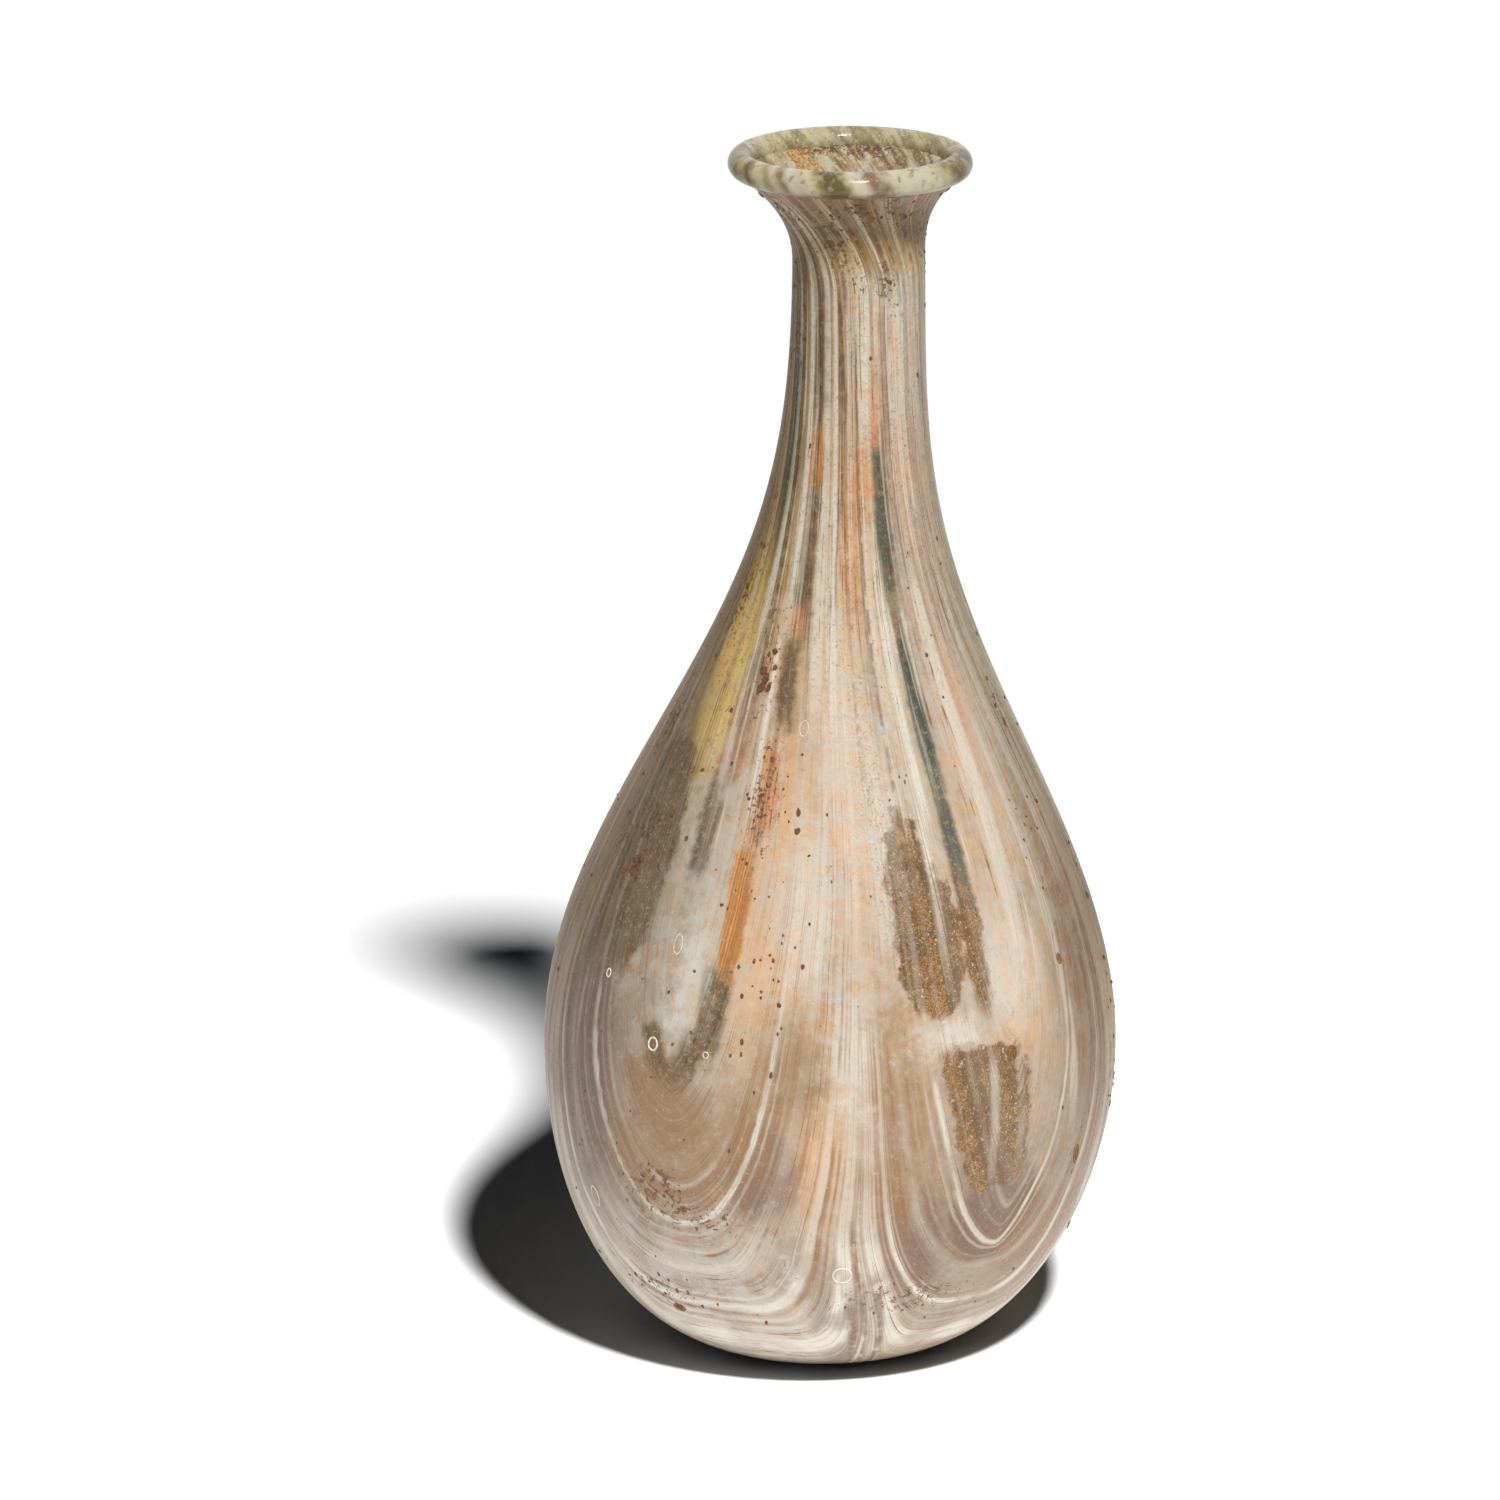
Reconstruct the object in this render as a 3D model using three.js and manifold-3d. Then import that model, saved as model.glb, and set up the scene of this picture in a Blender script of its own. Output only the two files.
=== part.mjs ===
// A free-blown glass bottle: a pear-shaped body drawn up into a narrow neck, a flared mouth with a rolled
// rim, opaque white glass trails combed into swags and pressed flush into the wall, a pontil scar under
// the base and patches of burial crust stuck to the inside. Millimetres, +Z up, standing on z = 0.
// Azimuth 0 faces -Y, the front, and grows towards +X.
import * as THREE from "three";
import { mergeVertices } from "three/addons/utils/BufferGeometryUtils.js";
import Module from "manifold-3d";

const wasm = await Module();
wasm.setup();

// Driving dimensions of the blown wall
const BODY_RADIUS = 32.7;
const WIDEST_HEIGHT = 35;
const BASE_RADIUS = 10.5;
const NECK_RADIUS = 7.4;
const NECK_HEIGHT = 126;
const FLARE_RADIUS = 11.6;
const FLARE_RISE = 9.3;
const WALL = 2;
const FLOOR = 3;
const KICK_RADIUS = 6.5;
const KICK_DEPTH = 3;

// How far the hand-blown axis wanders sideways, towards +X
const NECK_LEAN = 3.2;
const BASE_LEAN = -0.8;
const RIM_LEAN = 2.25;

// The rolled rim
const RIM_SECTION_RADIUS = 1.6;
const RIM_RADIUS = 12.1;

// The white trails, the comb that dragged them upwards, and the pattern's twist in degrees
const TRAIL_DEPTH = 0.7;
const TRAIL_WIDTH = 2.4;
const TRAIL_ARM_WIDTH = 0.8;
const COMB_START_HEIGHT = 4;
const COMB_PITCH = 22;
const BEND_CROWDING = 1.35;
const NECK_TWIST = -24;
const FOOT_TWIST = 6;

// The burial crust and the pontil scar
const CRUST_THICKNESS = 0.6;
const MOUTH_CRUST_RADIUS = 0.4;
const PONTIL_RADIUS = 4;

// Fits
const SEAT_GAP = 0.3;
const CUT_OVERRUN = 1;

// Shares of the sizes above, chosen to follow the blown outline
const BELL_SPREAD_SHARE = 0.513;
const BELL_TAIL_SHARE = 0.77;
const LEAN_START_SHARE = 0.08;
const TWIST_START_SHARE = 0.22;
const FOOT_TWIST_SHARE = 0.7;
const FLARE_POWER = 2.5;
const FLOOR_BLEND_SHARE = 0.6;
const PONTIL_SECTION_SHARE = 0.3;

// Facets
const ROUND_SIDES = 36;
const RING_SIDES = 10;
const BOWL_STEPS = 7;
const SHOULDER_STEPS = 12;
const FLARE_STEPS = 3;
const KICK_STEPS = 3;
const TRAIL_STEPS = 14;
const PROFILE_SAMPLES = 400;
const PATH_SAMPLES = 600;

const LIP_HEIGHT = NECK_HEIGHT + FLARE_RISE;
const RIM_HEIGHT = LIP_HEIGHT + SEAT_GAP + RIM_SECTION_RADIUS;

const radians = THREE.MathUtils.degToRad;
const mix = THREE.MathUtils.lerp;
const smooth = (value, from, to) => THREE.MathUtils.smoothstep(value, from, to);

const whiteGlass = new THREE.MeshStandardMaterial({ color: 0xd8d2c4, roughness: 0.35, metalness: 0 });
const clearGlass = new THREE.MeshStandardMaterial({ color: 0x9a8a80, roughness: 0.25, metalness: 0 });
const rimGlass = new THREE.MeshStandardMaterial({ color: 0xb9b5a0, roughness: 0.12, metalness: 0 });
const crust = new THREE.MeshStandardMaterial({ color: 0x8a6037, roughness: 0.9, metalness: 0 });

// Outside radius of the bowl, from the resting ring up to the widest height: a quarter of an ellipse
function bowlRadius(height) {
  const drop = 1 - height / WIDEST_HEIGHT;
  return mix(BASE_RADIUS, BODY_RADIUS, Math.sqrt(Math.max(0, 1 - drop * drop)));
}

// Outside radius of the shoulder and neck: a bell that dies away into the neck
function shoulderRadius(height) {
  const rise = (height - WIDEST_HEIGHT) / (NECK_HEIGHT - WIDEST_HEIGHT);
  const fall = (rise / BELL_SPREAD_SHARE) ** 2 * (1 + BELL_TAIL_SHARE * rise ** 3);
  const flare = Math.max(0, (height - NECK_HEIGHT) / FLARE_RISE) ** FLARE_POWER;
  return mix(NECK_RADIUS, BODY_RADIUS, Math.exp(-fall)) + (FLARE_RADIUS - NECK_RADIUS) * flare;
}

function outerRadius(height) {
  return height < WIDEST_HEIGHT ? bowlRadius(height) : shoulderRadius(height);
}

function kickHeight(radius) {
  return KICK_DEPTH * (1 - (radius / KICK_RADIUS) ** 2);
}

// How far the axis stands from the vertical at a height
function lean(height) {
  const bottom = BASE_LEAN * (1 - smooth(height, 0, WIDEST_HEIGHT));
  const start = mix(WIDEST_HEIGHT, NECK_HEIGHT, LEAN_START_SHARE);
  const neck = NECK_LEAN * smooth(height, start, NECK_HEIGHT);
  return bottom + neck + (RIM_LEAN - NECK_LEAN) * smooth(height, NECK_HEIGHT, RIM_HEIGHT);
}

// The wall's thickness, which grows towards the floor
function thickness(height) {
  return mix(FLOOR, WALL, smooth(height, 0, WIDEST_HEIGHT * FLOOR_BLEND_SHARE));
}

// The outside profile's normal at a height, as radial and vertical parts
function profileNormal(height) {
  const step = LIP_HEIGHT / PROFILE_SAMPLES;
  const low = Math.max(0, height - step);
  const high = Math.min(LIP_HEIGHT, height + step);
  return new THREE.Vector2(high - low, outerRadius(low) - outerRadius(high)).normalize();
}

// A point of the outside profile moved inwards by a depth, as radius and height
function profilePoint(height, depth) {
  const normal = profileNormal(height);
  return new THREE.Vector2(outerRadius(height) - normal.x * depth, height - normal.y * depth);
}

// A point of the wall in space, by azimuth in degrees, height of the outside and depth into the wall
function wallPoint(azimuth, height, depth) {
  const at = profilePoint(height, depth);
  const angle = radians(azimuth);
  return new THREE.Vector3(at.x * Math.sin(angle) + lean(at.y), -at.x * Math.cos(angle), at.y);
}

function wallNormal(azimuth, height) {
  const normal = profileNormal(height);
  const angle = radians(azimuth);
  return new THREE.Vector3(normal.x * Math.sin(angle), -normal.x * Math.cos(angle), normal.y);
}

function solidOf(geometry) {
  const bare = geometry.clone();
  bare.deleteAttribute("normal");
  bare.deleteAttribute("uv");
  const merged = mergeVertices(bare);
  const vertProperties = merged.attributes.position.array;
  const triVerts = new Uint32Array(merged.index.array);
  return new wasm.Manifold(new wasm.Mesh({ numProp: 3, vertProperties, triVerts }));
}

function geometryOf(solid) {
  const mesh = solid.getMesh();
  const geometry = new THREE.BufferGeometry();
  geometry.setAttribute("position", new THREE.BufferAttribute(mesh.vertProperties, mesh.numProp));
  geometry.setIndex(new THREE.BufferAttribute(mesh.triVerts, 1));
  return geometry;
}

// A closed profile of radius and height turned about the vertical and carried sideways with the axis
function turned(profile, sides) {
  const geometry = new THREE.LatheGeometry(profile, sides);
  geometry.rotateX(Math.PI / 2);
  const places = geometry.attributes.position;
  for (let i = 0; i < places.count; i += 1) {
    places.setX(i, places.getX(i) + lean(places.getZ(i)));
  }
  return geometry;
}

// A closed bar through sections that all have the same number of corners
function bar(sections) {
  const corners = sections[0].length;
  const places = sections.flat().flatMap((point) => point.toArray());
  const faces = [];
  for (let i = 0; i + 1 < sections.length; i += 1) {
    for (let j = 0; j < corners; j += 1) {
      const a = i * corners + j;
      const b = i * corners + ((j + 1) % corners);
      faces.push(a, b, b + corners, a, b + corners, a + corners);
    }
  }
  const last = (sections.length - 1) * corners;
  for (let j = 1; j + 1 < corners; j += 1) {
    faces.push(0, j + 1, j, last, last + j, last + j + 1);
  }
  const geometry = new THREE.BufferGeometry();
  geometry.setAttribute("position", new THREE.Float32BufferAttribute(places, 3));
  geometry.setIndex(faces);
  return geometry;
}

// The heights of the outside at which the profiles have their points
function profileHeights() {
  const heights = [];
  for (let i = 1; i <= BOWL_STEPS; i += 1) {
    heights.push(WIDEST_HEIGHT * (1 - Math.cos((i / BOWL_STEPS) * (Math.PI / 2))));
  }
  for (let i = 1; i <= SHOULDER_STEPS; i += 1) {
    heights.push(mix(WIDEST_HEIGHT, NECK_HEIGHT, i / SHOULDER_STEPS));
  }
  for (let i = 1; i <= FLARE_STEPS; i += 1) {
    heights.push(mix(NECK_HEIGHT, LIP_HEIGHT, i / FLARE_STEPS));
  }
  return heights;
}

// The blown wall before the trails are pressed in: outside from the kick up, inside back down
function wallProfile() {
  const heights = profileHeights();
  const kick = [];
  for (let i = 0; i <= KICK_STEPS; i += 1) {
    const radius = (KICK_RADIUS * i) / KICK_STEPS;
    kick.push(new THREE.Vector2(radius, kickHeight(radius)));
  }
  const outside = heights.map((height) => profilePoint(height, 0));
  const lip = new THREE.Vector2(FLARE_RADIUS - WALL, LIP_HEIGHT);
  const inside = heights.slice(0, -1).reverse().map((height) => profilePoint(height, thickness(height)));
  const floor = kick.toReversed().map((point) => new THREE.Vector2(point.x, point.y + FLOOR));
  return [...kick, new THREE.Vector2(BASE_RADIUS, 0), ...outside, lip, ...inside, ...floor];
}

// The layer of crust that would cover the whole inside of the wall, out of which the patches are cut
function crustProfile() {
  const heights = profileHeights().slice(1, -1);
  const near = heights.map((height) => profilePoint(height, thickness(height) + SEAT_GAP));
  const far = heights.map((height) => profilePoint(height, thickness(height) + SEAT_GAP + CRUST_THICKNESS));
  return [...near, ...far.reverse(), near[0].clone()];
}

// The combed swags. Each lobe lies between two azimuths, in degrees, where the comb dragged the trails up.
// The higher its power, the flatter its swags hang. The bottoms are where its four trails hang lowest, from
// the upper trail down, as shares of the neck's height.
const LOBE_SHARES = [
  { name: "front_left", from: -74, to: 6, power: 3, bottoms: [0.345, 0.175, 0.09, 0.047] },
  { name: "front_right", from: 6, to: 77, power: 2.2, bottoms: [0.345, 0.141, 0.084, 0.046] },
  { name: "right", from: 77, to: 147, power: 2.6, bottoms: [0.36, 0.165, 0.09, 0.05] },
  { name: "back", from: 147, to: 217, power: 2.8, bottoms: [0.33, 0.15, 0.083, 0.046] },
  { name: "left", from: 217, to: 286, power: 2.4, bottoms: [0.35, 0.18, 0.092, 0.048] },
];
// Where each trail's arms end, as a share of the neck's height, and how wide it is at the bottom
const TRAIL_SHARES = [
  { name: "upper", top: 0.975, width: 1 },
  { name: "middle", top: 0.7, width: 0.6 },
  { name: "lower", top: 0.52, width: 0.6 },
  { name: "foot", top: 0.2, width: 0.9 },
];

// How far the pattern is turned at a height, in degrees: one way as the neck was drawn out, the other
// way under the body
function twist(height) {
  const start = mix(WIDEST_HEIGHT, NECK_HEIGHT, TWIST_START_SHARE);
  const foot = FOOT_TWIST * (1 - smooth(height, 0, WIDEST_HEIGHT * FOOT_TWIST_SHARE));
  return foot + NECK_TWIST * smooth(height, start, LIP_HEIGHT);
}

// The path of one trail in one lobe, from arm to arm, as azimuth and height at steps that crowd at the bend
function trailPath(lobe, trail, bottom) {
  const middle = (lobe.from + lobe.to) / 2;
  const half = (lobe.to - lobe.from) / 2;
  const fall = (height) => Math.exp((COMB_START_HEIGHT - height) / COMB_PITCH);
  const level = fall(NECK_HEIGHT * bottom);
  const end = level - fall(NECK_HEIGHT * trail.top);
  const dense = [];
  for (let i = -PATH_SAMPLES; i <= PATH_SAMPLES; i += 1) {
    const drag = end * Math.sin((Math.abs(i) / PATH_SAMPLES) * (Math.PI / 2));
    const height = COMB_START_HEIGHT - COMB_PITCH * Math.log(level - drag);
    const azimuth = middle + half * Math.sign(i) * drag ** (1 / lobe.power) + twist(height);
    dense.push({ azimuth, height, point: wallPoint(azimuth, height, 0) });
  }
  const along = [0];
  for (let i = 1; i < dense.length; i += 1) {
    along.push(along[i - 1] + dense[i].point.distanceTo(dense[i - 1].point));
  }
  const stations = [];
  for (let i = 0; i <= TRAIL_STEPS; i += 1) {
    const arm = (2 * i) / TRAIL_STEPS - 1;
    const reach = Math.sign(arm) * Math.abs(arm) ** BEND_CROWDING;
    const at = along.findIndex((length) => length >= along.at(-1) * ((1 + reach) / 2));
    const width = mix(TRAIL_WIDTH * trail.width, TRAIL_ARM_WIDTH, Math.abs(reach));
    stations.push({ ...dense[at], width });
  }
  return stations;
}

// A bar that follows a trail's path through the wall's outside, from a depth inside to clear outside
function trailBar(stations, depth, margin) {
  const sections = stations.map((station, i) => {
    const before = stations[Math.max(0, i - 1)].point;
    const after = stations[Math.min(stations.length - 1, i + 1)].point;
    const normal = wallNormal(station.azimuth, station.height);
    const side = new THREE.Vector3().crossVectors(normal, after.clone().sub(before)).normalize();
    const ahead = new THREE.Vector3().crossVectors(side, normal);
    const beyond = margin * (Number(i === stations.length - 1) - Number(i === 0));
    const centre = station.point.clone().addScaledVector(ahead, beyond);
    const half = station.width / 2 + margin;
    const corner = (across, out) => centre.clone().addScaledVector(side, across).addScaledVector(normal, out);
    const within = [corner(-half, -depth), corner(half, -depth)];
    return [...within, corner(half, CUT_OVERRUN), corner(-half, CUT_OVERRUN)];
  });
  return solidOf(bar(sections));
}

function named(name, geometry, material) {
  const mesh = new THREE.Mesh(geometry, material);
  mesh.name = name;
  return mesh;
}

const bottle = new THREE.Group();

function addWallAndTrails() {
  const blank = solidOf(turned(wallProfile(), ROUND_SIDES));
  let wall = blank;
  for (const lobe of LOBE_SHARES) {
    for (const [i, trail] of TRAIL_SHARES.entries()) {
      const stations = trailPath(lobe, trail, lobe.bottoms[i]);
      wall = wall.subtract(trailBar(stations, TRAIL_DEPTH + SEAT_GAP, SEAT_GAP));
      const inlay = blank.intersect(trailBar(stations, TRAIL_DEPTH, 0));
      bottle.add(named(`white_trail_${lobe.name}_${trail.name}`, geometryOf(inlay), whiteGlass));
    }
  }
  bottle.add(named("blown_wall", geometryOf(wall), clearGlass));
}

// The closed profile of a ring with a round section
function ringProfile(radius, height, section) {
  const profile = [];
  for (let i = 0; i <= RING_SIDES; i += 1) {
    const angle = (2 * Math.PI * (i % RING_SIDES)) / RING_SIDES;
    profile.push(new THREE.Vector2(radius + section * Math.cos(angle), height + section * Math.sin(angle)));
  }
  return profile;
}

function addRim() {
  const profile = ringProfile(RIM_RADIUS, 0, RIM_SECTION_RADIUS);
  const ring = new THREE.LatheGeometry(profile, ROUND_SIDES);
  ring.rotateX(Math.PI / 2);
  ring.translate(RIM_LEAN, 0, RIM_HEIGHT);
  bottle.add(named("rolled_rim", geometryOf(solidOf(ring)), rimGlass));
}

function addPontilScar() {
  const room = kickHeight(PONTIL_RADIUS);
  const section = room * PONTIL_SECTION_SHARE;
  const slope = (2 * KICK_DEPTH * PONTIL_RADIUS) / KICK_RADIUS ** 2;
  const height = room - (SEAT_GAP + section) * Math.hypot(1, slope);
  const ring = new THREE.LatheGeometry(ringProfile(PONTIL_RADIUS, 0, section), ROUND_SIDES / 2);
  ring.rotateX(Math.PI / 2);
  ring.translate(BASE_LEAN, 0, height);
  bottle.add(named("pontil_scar", geometryOf(solidOf(ring)), clearGlass));
}

// Crust patches on the inside of the wall: middle azimuth and half width in degrees, then the lowest and
// highest edge as shares of the neck's height
const CRUST_PATCH_SHARES = [
  { name: "crust_patch_right_upper", azimuth: 24, half: 9, low: 0.38, high: 0.53 },
  { name: "crust_patch_right_lower", azimuth: 32, half: 11, low: 0.2, high: 0.33 },
  { name: "crust_patch_left", azimuth: -23, half: 5, low: 0.4, high: 0.57 },
  { name: "crust_patch_neck", azimuth: -29, half: 22, low: 0.8, high: 0.87 },
];
const CRUST_WIDTH_SHARES = [0.45, 0.85, 1, 0.95, 0.9, 0.6];
const CRUST_SIDES = 4;

function addCrustPatches() {
  const layer = solidOf(turned(crustProfile(), ROUND_SIDES));
  const rows = CRUST_WIDTH_SHARES.length - 1;
  for (const patch of CRUST_PATCH_SHARES) {
    const sections = CRUST_WIDTH_SHARES.map((share, i) => {
      const height = NECK_HEIGHT * mix(patch.low, patch.high, i / rows);
      const arc = (depth) => {
        const points = [];
        for (let j = 0; j <= CRUST_SIDES; j += 1) {
          const azimuth = patch.azimuth + patch.half * share * (1 - (2 * j) / CRUST_SIDES);
          points.push(wallPoint(azimuth, height, depth));
        }
        return points;
      };
      return [...arc(thickness(height) + CRUST_THICKNESS + CUT_OVERRUN), ...arc(0).reverse()];
    });
    const solid = layer.intersect(solidOf(bar(sections)));
    bottle.add(named(patch.name, geometryOf(solid), crust));
  }
}

// The dirt caught in the crease between the flare and the rolled rim, round the back of the mouth
const MOUTH_CRUST_FROM = 140;
const MOUTH_CRUST_TO = 222;
const MOUTH_CRUST_STEPS = 10;
const MOUTH_CRUST_SIDES = 6;

function mouthCrust() {
  const height = LIP_HEIGHT + SEAT_GAP + MOUTH_CRUST_RADIUS;
  const apart = RIM_SECTION_RADIUS + SEAT_GAP + MOUTH_CRUST_RADIUS;
  const radius = RIM_RADIUS - Math.sqrt(apart ** 2 - (RIM_HEIGHT - height) ** 2);
  const sections = [];
  for (let i = 0; i <= MOUTH_CRUST_STEPS; i += 1) {
    const azimuth = radians(mix(MOUTH_CRUST_TO, MOUTH_CRUST_FROM, i / MOUTH_CRUST_STEPS));
    const section = [];
    for (let j = 0; j < MOUTH_CRUST_SIDES; j += 1) {
      const angle = (2 * Math.PI * j) / MOUTH_CRUST_SIDES;
      const reach = radius + MOUTH_CRUST_RADIUS * Math.cos(angle);
      const x = reach * Math.sin(azimuth) + RIM_LEAN;
      const y = -reach * Math.cos(azimuth);
      section.push(new THREE.Vector3(x, y, height + MOUTH_CRUST_RADIUS * Math.sin(angle)));
    }
    sections.push(section);
  }
  return geometryOf(solidOf(bar(sections)));
}

addWallAndTrails();
addRim();
addPontilScar();
addCrustPatches();
bottle.add(named("crust_line_mouth", mouthCrust(), crust));

export default bottle;
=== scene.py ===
import math

import bpy
import numpy as np
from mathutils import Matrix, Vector


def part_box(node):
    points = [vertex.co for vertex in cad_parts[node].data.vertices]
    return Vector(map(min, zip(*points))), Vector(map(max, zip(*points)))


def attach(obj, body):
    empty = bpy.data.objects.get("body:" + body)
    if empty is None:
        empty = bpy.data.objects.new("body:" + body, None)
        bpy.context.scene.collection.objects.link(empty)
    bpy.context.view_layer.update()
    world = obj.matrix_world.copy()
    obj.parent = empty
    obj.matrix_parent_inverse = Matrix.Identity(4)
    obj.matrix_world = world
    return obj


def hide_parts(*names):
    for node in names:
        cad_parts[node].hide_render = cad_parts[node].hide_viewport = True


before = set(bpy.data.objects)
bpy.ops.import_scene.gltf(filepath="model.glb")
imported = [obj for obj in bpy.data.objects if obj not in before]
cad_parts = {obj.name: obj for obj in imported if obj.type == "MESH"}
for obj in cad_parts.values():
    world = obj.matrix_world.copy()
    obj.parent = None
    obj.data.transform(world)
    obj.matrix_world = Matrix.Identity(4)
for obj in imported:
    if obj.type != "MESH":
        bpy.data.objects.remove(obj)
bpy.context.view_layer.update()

# Sizes read from the frame, in metres
wall_low, wall_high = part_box("blown_wall")
rim_low, rim_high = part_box("rolled_rim")
BODY_RADIUS = wall_high.y
LIP_HEIGHT = wall_high.z
RIM_SECTION = (rim_high.z - rim_low.z) / 2
RIM_RADIUS = (rim_high.y - rim_low.y) / 2 - RIM_SECTION
RIM_HEIGHT = (rim_high.z + rim_low.z) / 2
RIM_LEAN = (rim_high.x + rim_low.x) / 2

# The pattern's own unit, about a millimetre: heights, widths and depths of the pattern are counted in it
UNITS_IN_BODY_RADIUS = 32.7
UNIT = BODY_RADIUS / UNITS_IN_BODY_RADIUS

# The blown outline, as shares of the body's radius or of the lip's height
NECK_HEIGHT = LIP_HEIGHT * 0.9313
WIDEST_HEIGHT = LIP_HEIGHT * 0.2587
BASE_RADIUS = BODY_RADIUS * 0.3211
NECK_RADIUS = BODY_RADIUS * 0.2263
FLARE_RADIUS = BODY_RADIUS * 0.3547
KICK_RADIUS = BODY_RADIUS * 0.1988
KICK_DEPTH = BODY_RADIUS * 0.0917
WALL = BODY_RADIUS * 0.0612
FLOOR = BODY_RADIUS * 0.0917
NECK_LEAN = BODY_RADIUS * 0.0979
BASE_LEAN = BODY_RADIUS * -0.0245
BELL_SPREAD_SHARE = 0.513
BELL_TAIL_SHARE = 0.77
LEAN_START_SHARE = 0.08
FLARE_POWER = 2.5
FLOOR_BLEND_SHARE = 0.6
UNDER_RIM_SHARE = 0.9
SLOPE_STEPS = 2000

# Rows and columns of the wall's mesh
COLUMNS_PER_LOBE = 64
BOWL_ROWS = 62
SHOULDER_ROWS = 168
INSIDE_EVERY = 4
KICK_ROWS = 8
FOOT_ROWS = 5
RIM_ROWS = 40

random = np.random.default_rng(11)


def smooth(value, low, high):
    """0 below low, 1 above high and an even curve between them."""
    t = np.clip((np.asarray(value, float) - low) / (high - low), 0, 1)
    return t * t * (3 - 2 * t)


def outer_radius(height):
    """The outside radius at a height."""
    height = np.asarray(height, float)
    drop = 1 - np.clip(height / WIDEST_HEIGHT, 0, 1)
    bowl = BASE_RADIUS + (BODY_RADIUS - BASE_RADIUS) * np.sqrt(np.maximum(0, 1 - drop**2))
    rise = np.maximum(0, height - WIDEST_HEIGHT) / (NECK_HEIGHT - WIDEST_HEIGHT)
    fall = (rise / BELL_SPREAD_SHARE) ** 2 * (1 + BELL_TAIL_SHARE * rise**3)
    flare = np.maximum(0, (height - NECK_HEIGHT) / (LIP_HEIGHT - NECK_HEIGHT)) ** FLARE_POWER
    shoulder = NECK_RADIUS + (BODY_RADIUS - NECK_RADIUS) * np.exp(-fall)
    return np.where(height < WIDEST_HEIGHT, bowl, shoulder + (FLARE_RADIUS - NECK_RADIUS) * flare)


def lean(height):
    """How far the hand-blown axis stands to the side at a height."""
    start = WIDEST_HEIGHT + (NECK_HEIGHT - WIDEST_HEIGHT) * LEAN_START_SHARE
    bottom = BASE_LEAN * (1 - smooth(height, 0, WIDEST_HEIGHT))
    neck = NECK_LEAN * smooth(height, start, NECK_HEIGHT)
    return bottom + neck + (RIM_LEAN - NECK_LEAN) * smooth(height, NECK_HEIGHT, RIM_HEIGHT)


def thickness(height):
    """The wall's thickness, which grows towards the floor."""
    return FLOOR + (WALL - FLOOR) * smooth(height, 0, WIDEST_HEIGHT * FLOOR_BLEND_SHARE)


def profile_normal(height):
    """The outside profile's normal, as radial and vertical parts."""
    step = LIP_HEIGHT / SLOPE_STEPS
    low = np.maximum(0, height - step)
    high = np.minimum(LIP_HEIGHT, height + step)
    out = high - low
    up = outer_radius(low) - outer_radius(high)
    size = np.hypot(out, up)
    return out / size, up / size


# How the combed pattern turns about the axis, in degrees, with the heights as shares of the neck's
FOOT_TWIST = 8
FOOT_TWIST_END_SHARE = 0.194
NECK_TWIST = -24
NECK_TWIST_START_SHARE = 0.437
RIM_TWIST = -25
RIM_TWIST_START_SHARE = 0.98


def twist(height):
    """How far the pattern has turned at a height."""
    foot = FOOT_TWIST * (1 - smooth(height, 0, NECK_HEIGHT * FOOT_TWIST_END_SHARE))
    neck = NECK_TWIST * smooth(height, NECK_HEIGHT * NECK_TWIST_START_SHARE, LIP_HEIGHT)
    rim = RIM_TWIST * smooth(height, NECK_HEIGHT * RIM_TWIST_START_SHARE, RIM_HEIGHT)
    return foot + neck + rim


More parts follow.
